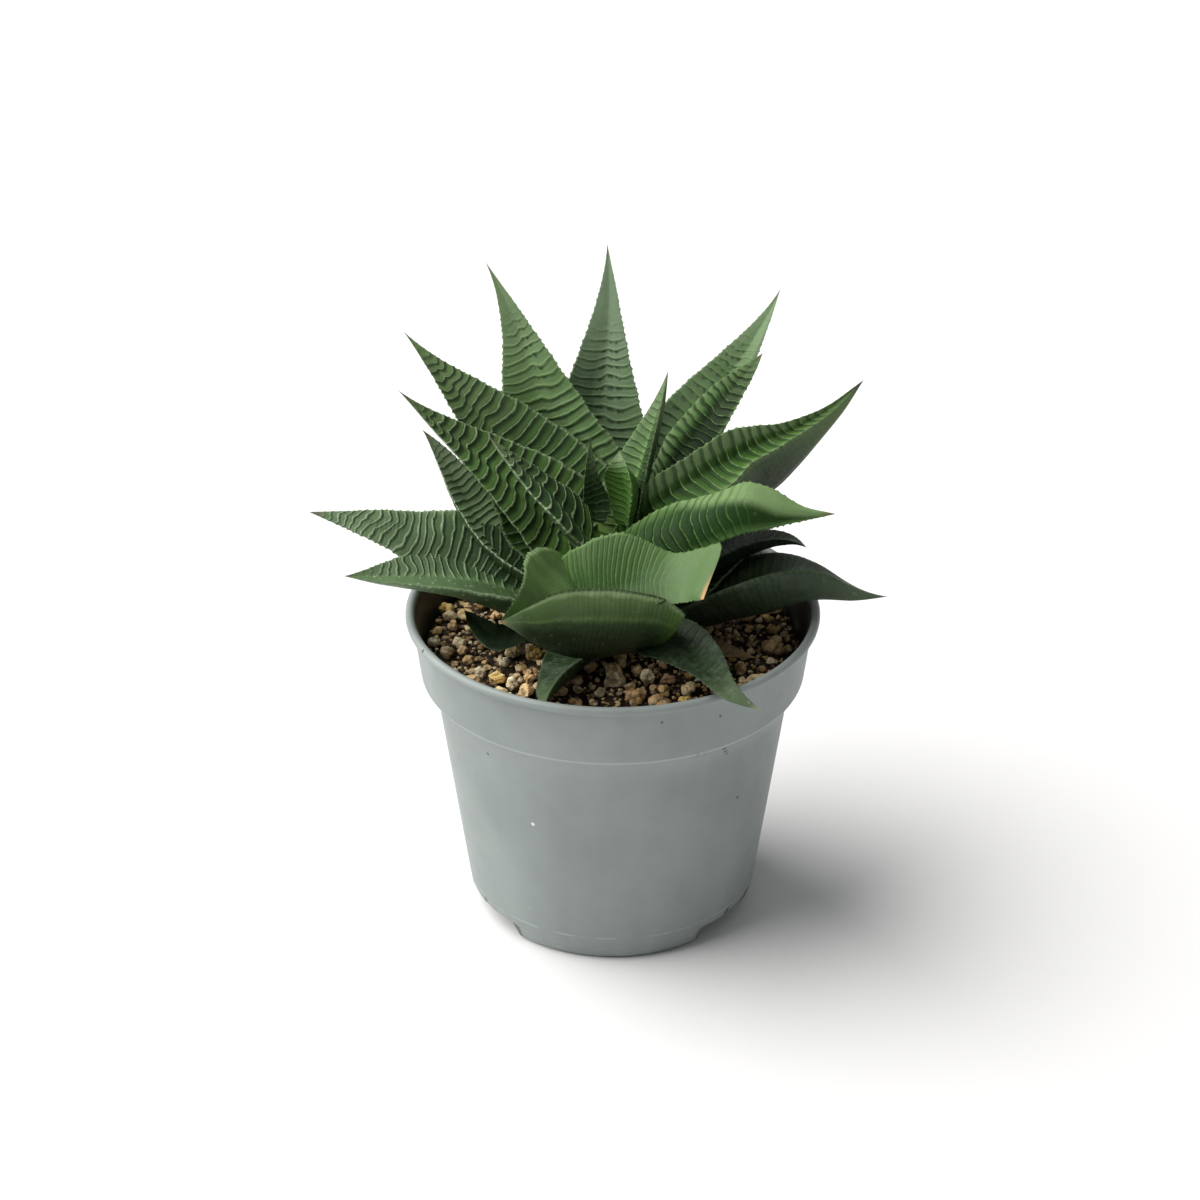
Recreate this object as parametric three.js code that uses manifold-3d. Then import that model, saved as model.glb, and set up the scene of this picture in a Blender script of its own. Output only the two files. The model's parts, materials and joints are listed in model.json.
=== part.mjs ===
// Potted haworthia: a rosette of long, keeled, channelled leaves on a short stem,
// standing in gritty soil in a thin-walled round pot.
// Millimetres, +Z up. The origin is on the pot's axis, in the plane of its flat bottom.
// The front of the plant faces -Y.
import * as THREE from "three";
import { mergeVertices } from "three/addons/utils/BufferGeometryUtils.js";
import Module from "manifold-3d";

const wasm = await Module();
wasm.setup();

// ---------------------------------------------------------------- driving dimensions
const GAP = 0.3;                 // clearance between pieces that touch
const POT_SEGMENTS = 32, SOIL_SEGMENTS = 24;
const POT_HEIGHT = 72.05;        // rim top above the ground
const WALL = 1.15;               // pot wall thickness
const FLOOR = 1.3;               // pot floor thickness
const RIM_BEAD = { r: 44.03, z: 71.07, radius: 0.98 };
// outer wall, from the edge of the flat bottom up to the underside of the rim bead
const POT_OUTER = [[29.3, 0], [30.3, 0.35], [30.95, 1.2], [32.2, 4.65], [38.65, 52.4], [41.95, 57.24], [43.55, 69.9]];
// inner wall, from under the rim lip down to the edge of the floor
const POT_INNER = [[43.05, 70.9], [42.4, 69.6], [40.85, 58.2], [37.45, 53.0], [31.05, 5.0], [29.6, FLOOR + 0.5], [28.6, FLOOR]];
const NOTCH_AZIMUTHS = [-150, -35, 87];   // three foot notches, degrees from +X
const NOTCH_HALF_ANGLE = 16.5;            // degrees, at the top of the notch
const NOTCH_TOP = 4.9;                    // height of the notch above the ground
const NOTCH_INNER_R = 24.5;               // how far in the notch reaches
const DRAIN = { r: 27.6, halfAngle: 7.5, halfWidth: 1.5 };  // slot in the roof of each notch
const SOIL_TOP = [[0, 66.5], [14, 65.8], [28, 64.0], [41.2, 62.6]];
const STEM = { x: -2, y: 0, bottom: 52, top: 82, rBottom: 5.0, rCrown: 4.2, rTop: 1.6 };

// Leaves. Each follows a cubic centreline P0..P3 from its base to its tip.
//   az      direction in which it grows, degrees from +X
//   W       half width at its widest, which is at wide along it; b  its share of that at the base
//   q, e    how the outline narrows to the tip
//   r0, r1  roll about the centreline at the base and at the tip, degrees
//   ch, th  depth of the channel and thickness under it, as a share of the half width
// An earlier leaf in the list is whole, and a later one is relieved where the two press together.
const LEAVES = [
  { name: "leaf_10", thick: 3.2, rails: [
    [[-5.5, -6.0, 84.0], [-10.8, -14.0, 90.3], [-7.6, -16.0, 94.2], [-2.8, -17.0, 97.3], [3.0, -17.5, 98.2], [8.0, -18.5, 96.6], [12.8, -20.5, 95.3], [18.2, -23.0, 97.8], [22.0, -26.5, 100.1], [18.2, -36.0, 92.8]],
    [[-1.5, -7.0, 78.0], [-7.6, -19.0, 85.8], [-4.9, -22.0, 87.0], [-1.1, -23.5, 88.2], [3.0, -24.5, 89.7], [7.1, -25.5, 91.0], [11.0, -27.0, 91.3], [14.6, -29.0, 92.1], [17.6, -32.0, 94.4], [18.2, -36.0, 92.8]],
    [[3.0, -9.0, 79.0], [-5.3, -24.0, 82.6], [-2.8, -27.0, 84.0], [1.3, -29.0, 85.8], [5.4, -30.0, 87.3], [9.5, -31.0, 88.8], [12.6, -32.0, 89.8], [15.0, -33.0, 90.6], [16.9, -35.0, 92.1], [18.2, -36.0, 92.8]]] },
  { name: "leaf_09", thick: 3, rails: [
    [[-6.0, -5.0, 80.0], [-11.3, -7.0, 88.3], [-15.5, -9.0, 90.7], [-17.7, -13.0, 91.4], [-18.6, -20.0, 92.3], [-18.5, -27.0, 92.9], [-19.3, -33.0, 93.1], [-20.7, -39.0, 93.2], [-21.8, -43.0, 93.3], [-22.8, -46.5, 93.4]],
    [[0.6, -8.9, 72.7], [6.3, -18.8, 77.9], [3.2, -22.3, 79.8], [-0.9, -25.0, 80.6], [-5.0, -27.6, 81.1], [-9.1, -29.7, 81.7], [-13.0, -32.0, 83.2], [-17.0, -35.8, 85.5], [-20.3, -41.6, 90.0], [-22.8, -46.5, 93.4]],
    [[6.0, -9.0, 75.0], [14.7, -23.0, 81.3], [11.6, -29.5, 88.7], [6.4, -33.5, 92.9], [0.7, -35.6, 95.0], [-5.2, -36.8, 95.8], [-10.8, -38.2, 95.6], [-16.0, -41.0, 94.7], [-20.0, -44.0, 93.8], [-22.8, -46.5, 93.4]],
    [[1.0, -10.0, 70.0], [8.8, -21.0, 74.0], [6.0, -24.0, 74.2], [1.8, -26.0, 74.2], [-2.8, -27.5, 74.1], [-7.6, -28.5, 74.6], [-11.9, -30.0, 76.9], [-16.1, -33.5, 80.8], [-20.0, -40.5, 88.0], [-22.8, -46.5, 93.4]]] },
  { name: "leaf_16", coarse: true, az: 120, W: 3.3, b: 0.72, wide: 0.23, q: 1.44, e: 1.12, r0: -3, r1: -4, ch: 0.35, th: 0.5, P: [[-4.0, 3.5, 90.7], [-2.5, 6.3, 95.0], [-5.6, 4.6, 96.9], [-4.7, 7.0, 109.5]] },
  { name: "leaf_17", coarse: true, az: 20, W: 5.3, b: 0.71, wide: 0.33, q: 1.56, e: 1.17, r0: 1, r1: 32, ch: 0.35, th: 0.5, P: [[1.8, 1.4, 90.3], [0.8, 3.5, 100.4], [0.5, -0.1, 103.0], [1.3, 6.5, 106.0]] },
  { name: "leaf_05", thick: 3.4, rails: [
    [[-3.5, -7.0, 80.0], [-3.4, -11.0, 85.6], [-5.9, -14.0, 92.6], [-9.0, -14.5, 96.7], [-12.2, -13.5, 99.9], [-15.3, -11.0, 102.1], [-18.3, -8.5, 104.6], [-21.0, -5.5, 107.1], [-23.6, -2.0, 109.4], [-26.2, 1.0, 111.9]],
    [[-5.0, -2.0, 80.0], [-4.1, -4.0, 87.2], [-7.0, -5.0, 93.2], [-10.0, -5.2, 97.3], [-12.7, -4.8, 100.5], [-15.4, -4.0, 102.9], [-18.2, -3.0, 105.2], [-20.7, -2.0, 107.5], [-23.4, -0.5, 109.6], [-26.2, 1.0, 111.9]],
    [[-6.0, 2.5, 83.0], [-4.5, 3.5, 92.2], [-7.1, 5.0, 95.8], [-9.6, 5.5, 97.7], [-12.2, 5.0, 99.6], [-14.7, 3.8, 101.9], [-17.2, 2.4, 104.5], [-20.1, 1.4, 107.1], [-23.1, 1.0, 109.4], [-26.2, 1.0, 111.9]]] },
  { name: "leaf_11", thick: 2.8, rails: [
    [[-0.5, 6.0, 84.0], [2.8, -2.0, 91.2], [7.4, -3.0, 95.3], [12.9, -4.0, 98.6], [17.9, -5.0, 100.6], [22.9, -6.0, 102.5], [27.8, -6.5, 104.9], [33.4, -9.0, 104.4], [39.6, -12.0, 101.9], [46.3, -14.0, 101.1]],
    [[2.0, -3.0, 80.0], [5.3, -7.0, 87.6], [9.5, -9.0, 91.0], [14.0, -11.0, 94.4], [18.4, -12.0, 97.0], [23.1, -13.0, 100.3], [28.4, -13.5, 102.5], [33.8, -14.0, 102.1], [40.1, -14.0, 101.2], [46.3, -14.0, 101.1]],
    [[4.0, -9.0, 81.0], [8.2, -13.0, 86.4], [11.5, -15.0, 89.4], [15.4, -16.0, 91.8], [19.3, -16.5, 94.2], [23.8, -17.0, 96.9], [28.6, -17.0, 98.3], [34.2, -16.0, 99.2], [40.5, -15.0, 100.2], [46.3, -14.0, 101.1]]] },
  { name: "leaf_15", az: 58, W: 7.1, b: 0.72, wide: 0.23, q: 1.41, e: 1.19, r0: -19, r1: -31, ch: 0.5, th: 0.4, P: [[0.1, 3.4, 86.1], [0.4, 6.9, 98.8], [7.6, 10.8, 106.7], [11.9, 18.1, 119.5]] },
  { name: "leaf_12", thick: 3.6, rails: [
    [[-1.5, 4.5, 85.0], [5.3, 3.0, 97.3], [9.0, 5.0, 100.4], [13.9, 7.0, 102.9], [19.1, 9.0, 105.5], [24.5, 11.0, 108.4], [30.5, 12.5, 108.9], [37.1, 14.0, 109.1], [45.7, 15.5, 112.0], [53.9, 17.0, 117.7]],
    [[1.5, 1.5, 81.0], [7.9, 2.6, 92.7], [11.8, 4.3, 95.7], [17.0, 6.2, 98.6], [22.2, 8.3, 101.1], [27.8, 10.5, 103.4], [33.4, 12.3, 105.6], [39.5, 14.1, 107.4], [46.8, 15.7, 111.6], [53.9, 17.0, 117.7]],
    [[4.0, -4.0, 84.0], [9.6, -3.0, 93.9], [14.3, -1.5, 95.2], [20.0, 0.5, 97.3], [25.4, 3.0, 99.7], [29.7, 6.0, 103.2], [35.2, 9.0, 105.3], [40.9, 12.0, 107.7], [47.6, 15.0, 111.5], [53.9, 17.0, 117.7]],
    [[7.0, 3.0, 78.0], [12.9, 7.0, 85.4], [17.7, 9.5, 86.3], [23.8, 12.0, 87.7], [30.0, 14.0, 89.9], [35.5, 15.8, 92.1], [40.2, 17.0, 96.7], [44.9, 17.6, 102.7], [50.0, 17.6, 110.1], [53.9, 17.0, 117.7]]] },
  { name: "leaf_14", thick: 3.2, rails: [
    [[-2.0, 7.0, 84.0], [7.6, 12.0, 95.2], [9.2, 16.0, 98.6], [12.1, 20.0, 103.2], [16.9, 25.0, 107.4], [22.6, 28.0, 111.8], [27.9, 30.0, 114.7], [32.9, 31.0, 117.8]],
    [[0.0, 5.0, 81.0], [9.1, 9.5, 93.1], [12.0, 13.0, 96.9], [15.7, 17.0, 101.5], [20.4, 22.0, 105.6], [25.7, 26.0, 110.5], [29.6, 29.0, 114.2], [32.9, 31.0, 117.8]],
    [[1.0, 3.0, 80.0], [10.2, 7.0, 91.4], [14.5, 9.5, 95.5], [19.3, 13.5, 99.8], [23.7, 18.0, 104.9], [28.1, 23.0, 110.7], [31.1, 28.0, 114.6], [32.9, 31.0, 117.8]]] },
  { name: "leaf_04", az: 163, W: 12.7, b: 0.71, wide: 0.19, q: 1.43, e: 1.49, r0: -21, r1: -13, ch: 0.4, th: 0.3, P: [[-5.8, 1.2, 84.1], [-11.2, 3.5, 97.7], [-33.2, 8.6, 106.4], [-46.0, 10.7, 118.4]] },
  { name: "leaf_08", az: 190, W: 12.4, b: 0.71, wide: 0.3, q: 1.23, e: 1.22, r0: 4, r1: -19, ch: 0.35, th: 0.42, P: [[-5.9, -0.7, 70.6], [-21.8, 0.5, 87.9], [-43.0, -10.5, 84.7], [-57.0, -12.4, 85.6]] },
  { name: "leaf_03", az: 146, W: 14, b: 0.73, wide: 0.17, q: 1.22, e: 1.39, r0: -36, r1: -16, ch: 0.4, th: 0.3, P: [[-5.3, 2.2, 82.0], [-17.0, 14.7, 104.3], [-32.2, 19.7, 111.4], [-45.7, 28.4, 124.4]] },
  { name: "leaf_13", az: 48, W: 14.6, b: 0.72, wide: 0.21, q: 1.27, e: 1.36, r0: -13, r1: 5, ch: 0.4, th: 0.3, P: [[0.7, 3.0, 77.4], [7.8, 23.1, 100.5], [28.4, 30.6, 112.6], [37.4, 45.2, 127.5]] },
  { name: "leaf_02", az: 124, W: 15, b: 0.73, wide: 0.27, q: 1.06, e: 1.39, r0: -30, r1: -65, ch: 0.4, th: 0.3, P: [[-4.2, 3.3, 80.3], [-15.7, 18.6, 99.0], [-16.9, 29.3, 119.9], [-27.9, 37.5, 136.9]] },
  { name: "leaf_01", az: 88, W: 13.6, b: 0.71, wide: 0.28, q: 1, e: 1.23, r0: -5, r1: -33, ch: 0.4, th: 0.3, P: [[-1.9, 4.0, 78.1], [-6.5, 27.5, 99.0], [0.4, 34.8, 119.4], [-1.2, 43.0, 138.8]] },
  { name: "leaf_07", thick: 2.8, rails: [
    [[-7.0, -3.0, 69.5], [-14.0, -3.5, 71.5], [-21.0, -4.0, 73.5], [-27.0, -4.5, 75.5], [-33.0, -5.0, 78.0], [-38.5, -5.2, 81.0], [-43.5, -5.0, 84.5], [-48.0, -4.2, 87.7], [-53.0, -3.0, 90.0], [-59.0, -1.0, 92.0], [-65.0, 1.0, 94.0]],
    [[-5.0, 2.0, 71.0], [-12.0, 3.0, 74.0], [-19.0, 4.0, 76.5], [-25.0, 4.0, 79.5], [-31.0, 3.8, 82.0], [-37.0, 3.3, 85.0], [-42.5, 2.6, 87.2], [-47.5, 1.8, 89.3], [-53.0, 1.0, 91.0], [-59.0, 1.0, 92.6], [-65.0, 1.0, 94.0]],
    [[-4.0, 9.0, 73.0], [-11.0, 12.0, 77.0], [-18.0, 14.0, 81.0], [-24.0, 15.0, 84.0], [-30.0, 14.0, 87.0], [-36.0, 12.0, 89.0], [-42.0, 9.0, 90.0], [-47.0, 6.0, 92.0], [-52.0, 4.0, 93.0], [-58.0, 2.0, 93.7], [-65.0, 1.0, 94.0]]] },
  { name: "leaf_06", az: 154, W: 8.7, b: 0.64, wide: 0.28, q: 1.43, e: 1.2, r0: 25, r1: -22, ch: 0.4, th: 0.3, P: [[-5.6, 1.8, 75.3], [-26.4, 5.1, 81.3], [-32.3, 17.4, 94.4], [-41.3, 16.3, 106.3]] },
  { name: "leaf_18", az: 351, W: 13, b: 0.63, wide: 0.32, q: 1.29, e: 1.29, r0: -5, r1: -35, ch: 0.35, th: 0.42, P: [[2.0, -0.6, 66.0], [42.9, -1.0, 95.6], [43.4, -3.5, 78.0], [58.0, -15.6, 82.4]] },
  { name: "leaf_19", az: 16, W: 8.1, b: 0.72, wide: 0.23, q: 1.5, e: 1.14, r0: -27, r1: -9, ch: 0.4, th: 0.3, P: [[1.8, 1.1, 70.7], [17.8, 7.2, 79.8], [34.1, 18.8, 85.1], [42.0, 3.3, 84.1]] },
  { name: "leaf_20", thick: 1.5, rails: [
    [[4.0, -3.0, 75.0], [10.0, -11.6, 76.5], [16.2, -16.9, 77.5], [19.8, -23.4, 78.0], [22.3, -29.8, 77.5], [23.9, -35.9, 76.0], [26.0, -41.6, 74.6], [30.0, -44.4, 71.5]],
    [[2.0, -5.0, 72.0], [6.8, -15.0, 74.0], [13.0, -22.0, 75.0], [17.0, -28.4, 75.5], [19.7, -33.4, 75.3], [21.8, -38.5, 74.9], [24.3, -43.6, 74.1], [30.0, -44.4, 71.5]],
    [[-1.0, -8.0, 73.0], [3.1, -22.7, 74.0], [9.3, -29.6, 75.0], [13.7, -33.6, 75.4], [16.9, -37.0, 75.2], [19.7, -40.8, 74.8], [22.8, -44.4, 74.1], [30.0, -44.4, 71.5]]] },
  { name: "leaf_21", coarse: true, az: 252, W: 7.4, b: 0.71, wide: 0.25, q: 1.51, e: 0.94, r0: 3, r1: 51, ch: 0.3, th: 0.28, P: [[-3.2, -3.8, 69.3], [-7.2, -19.0, 72.9], [-15.1, -22.4, 67.1], [-14.2, -38.8, 69.5]] },
  { name: "leaf_22", thick: 1.2, coarse: true, rails: [
    [[-5.0, -5.0, 71.5], [-14.6, -9.6, 70.5], [-19.8, -13.9, 70.2], [-23.4, -16.9, 70.2], [-26.1, -17.2, 70.4], [-28.6, -14.4, 71.0], [-30.9, -9.6, 72.0], [-32.0, -6.1, 74.0]],
    [[-6.0, -3.0, 70.0], [-14.0, -3.9, 69.8], [-18.9, -6.7, 69.4], [-22.5, -9.4, 69.4], [-25.1, -9.9, 69.7], [-27.7, -8.3, 70.5], [-30.1, -6.5, 72.0], [-32.0, -6.1, 74.0]],
    [[-7.0, -1.0, 71.0], [-13.6, -1.1, 70.5], [-17.9, -3.0, 70.3], [-21.6, -5.4, 70.4], [-24.3, -6.6, 70.8], [-26.9, -6.1, 71.5], [-29.7, -5.8, 72.8], [-32.0, -6.1, 74.0]]] },
  { name: "leaf_23", coarse: true, az: 330, W: 6.5, b: 0.72, wide: 0.25, q: 1.5, e: 1.2, r0: 0, r1: 10, ch: 0.2, th: 0.2, P: [[1.5, -2.0, 67.5], [11.7, -7.9, 68.3], [20.9, -13.2, 68.9], [30.6, -18.8, 69.3]] },
  { name: "leaf_24", coarse: true, az: 66, W: 13, b: 0.72, wide: 0.25, q: 1.5, e: 1.2, r0: 0, r1: 0, ch: 0.4, th: 0.3, P: [[-0.4, 3.7, 74.0], [5.2, 16.3, 85.6], [10.6, 28.2, 94.7], [16.6, 41.7, 103.2]] },
  { name: "leaf_25", coarse: true, az: 108, W: 13.5, b: 0.72, wide: 0.25, q: 1.5, e: 1.2, r0: 0, r1: 0, ch: 0.4, th: 0.3, P: [[-3.2, 3.8, 72.0], [-7.8, 17.8, 83.5], [-12.1, 31.1, 92.6], [-16.9, 46.0, 100.9]] },
  { name: "leaf_27", coarse: true, az: 30, W: 12.5, b: 0.72, wide: 0.25, q: 1.5, e: 1.2, r0: 0, r1: 0, ch: 0.4, th: 0.3, P: [[1.5, 2.0, 69.0], [14.6, 9.6, 75.7], [26.7, 16.6, 80.3], [39.9, 24.2, 83.5]] },
  { name: "leaf_26", coarse: true, az: 138, W: 12.5, b: 0.72, wide: 0.25, q: 1.5, e: 1.2, r0: 0, r1: 0, ch: 0.4, th: 0.3, P: [[-5.0, 2.7, 69.5], [-16.0, 12.6, 76.8], [-26.3, 21.9, 81.8], [-37.6, 32.0, 85.6]] },
];

// Grit stones: centre, half sizes and a turn, all resting in dimples in the soil.
const STONES = [
  { name: "stone_01", c: [-37.0, 13.3, 63.4], h: [1.74, 1.67, 1.59], turn: 0, seed: 0.7 },
  { name: "stone_02", c: [-39.0, -0.8, 63.3], h: [1.52, 1.5, 1.48], turn: 47, seed: 2 },
  { name: "stone_03", c: [-35.2, 5.4, 63.7], h: [1.52, 1.44, 1.37], turn: 94, seed: 3.3 },
  { name: "stone_04", c: [-35.9, -6.2, 63.6], h: [1.74, 1.61, 1.48], turn: 141, seed: 4.6 },
  { name: "stone_05", c: [-27.8, 4.6, 64.6], h: [2.39, 2.1, 1.82], turn: 8, seed: 5.9 },
  { name: "stone_06", c: [-32.3, -5.8, 63.9], h: [1.3, 1.28, 1.25], turn: 55, seed: 7.2 },
  { name: "stone_07", c: [-21.3, -8.7, 65.3], h: [1.95, 1.89, 1.82], turn: 102, seed: 8.5 },
  { name: "stone_08", c: [-17.2, -11.1, 65.6], h: [1.95, 1.94, 1.94], turn: 149, seed: 9.8 },
  { name: "stone_09", c: [-24.7, -19.0, 64.3], h: [2.17, 1.94, 1.71], turn: 16, seed: 11.1 },
  { name: "stone_10", c: [-28.2, -16.4, 64.0], h: [1.52, 1.5, 1.48], turn: 63, seed: 12.4 },
  { name: "stone_11", c: [-21.4, -21.1, 64.3], h: [1.52, 1.5, 1.48], turn: 110, seed: 13.7 },
  { name: "stone_12", c: [-17.9, -20.0, 64.6], h: [1.3, 1.33, 1.37], turn: 157, seed: 15 },
  { name: "stone_13", c: [0.2, -20.7, 66.0], h: [2.93, 2.95, 2.96], turn: 24, seed: 16.3 },
  { name: "stone_14", c: [4.4, -27.7, 64.7], h: [2.39, 2.16, 1.94], turn: 71, seed: 17.6 },
  { name: "stone_15", c: [7.6, -20.2, 65.4], h: [1.84, 1.78, 1.71], turn: 118, seed: 18.9 },
  { name: "stone_16", c: [10.7, -24.4, 64.7], h: [1.52, 1.5, 1.48], turn: 165, seed: 20.2 },
  { name: "stone_17", c: [16.0, -23.2, 64.5], h: [1.95, 1.77, 1.59], turn: 32, seed: 21.5 },
  { name: "stone_18", c: [35.0, -4.2, 64.0], h: [2.6, 2.38, 2.16], turn: 79, seed: 22.8 },
  { name: "stone_19", c: [27.0, -14.7, 64.3], h: [1.52, 1.56, 1.59], turn: 126, seed: 24.1 },
  { name: "stone_20", c: [35.6, 14.2, 63.5], h: [2.6, 2.21, 1.82], turn: 173, seed: 25.4 },
  { name: "stone_21", c: [31.9, -14.5, 63.7], h: [1.52, 1.39, 1.25], turn: 40, seed: 26.7 },
];

// ---------------------------------------------------------------- materials
const mat = (color, roughness, metalness = 0) => new THREE.MeshStandardMaterial({ color, roughness, metalness });
const POT_GREY = 0x8c9694, SOIL_BROWN = 0x2e2319, STEM_GREEN = 0x4a5a2c;
const LEAF_GREENS = [0x4f8a34, 0x3f7033, 0x35602f, 0x2f5630, 0x2a4d2e];
const GRIT_TONES = [0xc4a878, 0xd8cdb4, 0x9a7b4f, 0xb08f5c, 0x8a7458];

// ---------------------------------------------------------------- helpers
const rad = THREE.MathUtils.degToRad;

// A closed mesh as a solid, turned to face out.
function solid(geometry, tolerance = 1e-4) {
  const g = geometry.clone();
  g.deleteAttribute("normal");
  g.deleteAttribute("uv");
  const m = mergeVertices(g, tolerance);
  const p = m.attributes.position.array;
  const src = m.index.array;
  const tri = [];
  let volume = 0;
  for (let i = 0; i < src.length; i += 3) {
    const [a, b, c] = [src[i], src[i + 1], src[i + 2]];
    if (a === b || b === c || c === a) continue;
    tri.push(a, b, c);
    const [ax, ay, az, bx, by, bz, cx, cy, cz] = [a, b, c].flatMap((k) => [p[3 * k], p[3 * k + 1], p[3 * k + 2]]);
    volume += ax * (by * cz - bz * cy) - ay * (bx * cz - bz * cx) + az * (bx * cy - by * cx);
  }
  if (volume < 0) for (let i = 0; i < tri.length; i += 3) [tri[i], tri[i + 1]] = [tri[i + 1], tri[i]];
  return new wasm.Manifold(new wasm.Mesh({ numProp: 3, vertProperties: new Float32Array(p), triVerts: new Uint32Array(tri) }));
}

function toGeometry(body) {
  const mesh = body.getMesh();
  const n = mesh.numProp;
  const count = mesh.vertProperties.length / n;
  const pos = new Float32Array(count * 3);
  for (let i = 0; i < count; i++) for (let k = 0; k < 3; k++) pos[3 * i + k] = mesh.vertProperties[n * i + k];
  const g = new THREE.BufferGeometry();
  g.setAttribute("position", new THREE.BufferAttribute(pos, 3));
  g.setIndex(new THREE.BufferAttribute(new Uint32Array(mesh.triVerts), 1));
  g.computeVertexNormals();
  return g;
}

// The largest separate body of a cut.
function largest(body) {
  const parts = body.decompose();
  let best = parts[0];
  for (const part of parts) if (part.volume() > best.volume()) best = part;
  return best;
}

// The same, once more after its corners have been merged, so that nothing hangs on by a single edge.
function settle(body) {
  let b = largest(body);
  for (let i = 0; i < 3; i++) b = largest(solid(toGeometry(b), 2e-3));
  return b;
}

// A surface of revolution about +Z from [radius, height] pairs that start and end on the axis.
function lathe(profile, segments = POT_SEGMENTS) {
  const g = new THREE.LatheGeometry(profile.map(([r, z]) => new THREE.Vector2(r, z)), segments);
  g.rotateX(Math.PI / 2);
  g.rotateZ(Math.PI / segments);
  return g;
}

// An annular wedge r0..r1 over +-half degrees about an azimuth, from z0 to z1; it is wider at the bottom by flare degrees.
function wedge(azimuth, half, r0, r1, z0, z1, flare = 0, steps = 6) {
  const pos = [], idx = [];
  for (let i = 0; i <= steps; i++) {
    const u = (2 * i) / steps - 1;
    for (const [z, h] of [[z0, half + flare], [z1, half]]) {
      const a = rad(azimuth + u * h);
      pos.push(r0 * Math.cos(a), r0 * Math.sin(a), z, r1 * Math.cos(a), r1 * Math.sin(a), z);
    }
  }
  for (let i = 0; i < steps; i++) {
    const a = 4 * i, b = 4 * (i + 1);
    const quad = (p, q, r, s) => idx.push(p, q, r, p, r, s);
    quad(a, a + 1, b + 1, b);
    quad(a + 2, b + 2, b + 3, a + 3);
    quad(a, b, b + 2, a + 2);
    quad(a + 1, a + 3, b + 3, b + 1);
  }
  const e = 4 * steps;
  idx.push(0, 2, 3, 0, 3, 1, e, e + 1, e + 3, e, e + 3, e + 2);
  const g = new THREE.BufferGeometry();
  g.setAttribute("position", new THREE.Float32BufferAttribute(pos, 3));
  g.setIndex(idx);
  return g;
}

// ---------------------------------------------------------------- pot
const bead = [];
for (let i = 0; i <= 5; i++) {
  const a = rad(-35 + (205 * i) / 5);
  bead.push([RIM_BEAD.r + RIM_BEAD.radius * Math.cos(a), RIM_BEAD.z + RIM_BEAD.radius * Math.sin(a)]);
}
const soilProfile = [
  [0, FLOOR + GAP], [28.6 - GAP, FLOOR + GAP], [29.6 - GAP, FLOOR + 0.5 + GAP], [31.05 - GAP, 5.0], [37.45 - GAP, 53.0],
  [40.85 - GAP, 58.2], [41.35 - GAP, 62.6], ...SOIL_TOP.slice(1, -1).reverse(), [0, 66.5],
];
const notches = (grow) => NOTCH_AZIMUTHS.map((az) =>
  solid(wedge(az, NOTCH_HALF_ANGLE + grow * 2.0, NOTCH_INNER_R - grow, 60, -5, NOTCH_TOP + grow, 3.4)));

let pot = solid(lathe([[0, 0], ...POT_OUTER, ...bead, ...POT_INNER, [0, FLOOR]]));
const potBody = solid(lathe([[0, 0], ...POT_OUTER, ...bead, [0, RIM_BEAD.z + 0.4]]));
const notchWalls = notches(WALL), notchVoids = notches(0);
for (let i = 0; i < NOTCH_AZIMUTHS.length; i++) {
  pot = pot.add(notchWalls[i].intersect(potBody)).subtract(notchVoids[i]);
  pot = pot.subtract(solid(wedge(NOTCH_AZIMUTHS[i], DRAIN.halfAngle, DRAIN.r - DRAIN.halfWidth, DRAIN.r + DRAIN.halfWidth, NOTCH_TOP - 1, NOTCH_TOP + WALL + 1, 0, 3)));
}
pot = settle(pot);

// ---------------------------------------------------------------- leaves
// Where the sections are, along and across a leaf; the small and the hidden ones have fewer.
const FINE = { along: [0, 0.12, 0.25, 0.39, 0.53, 0.67, 0.8, 0.91, 1], across: [-1, -0.66, 0, 0.66, 1] };
const COARSE = { along: [0, 0.2, 0.42, 0.64, 0.84, 1], across: [-1, -0.6, 0, 0.6, 1] };

function halfWidth(leaf, t) {
  if (t < leaf.wide) return leaf.W * (leaf.b + (1 - leaf.b) * Math.sin((Math.PI / 2) * (t / leaf.wide)));
  return leaf.W * Math.pow(1 - Math.pow((t - leaf.wide) / (1 - leaf.wide), leaf.q), leaf.e);
}

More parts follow.
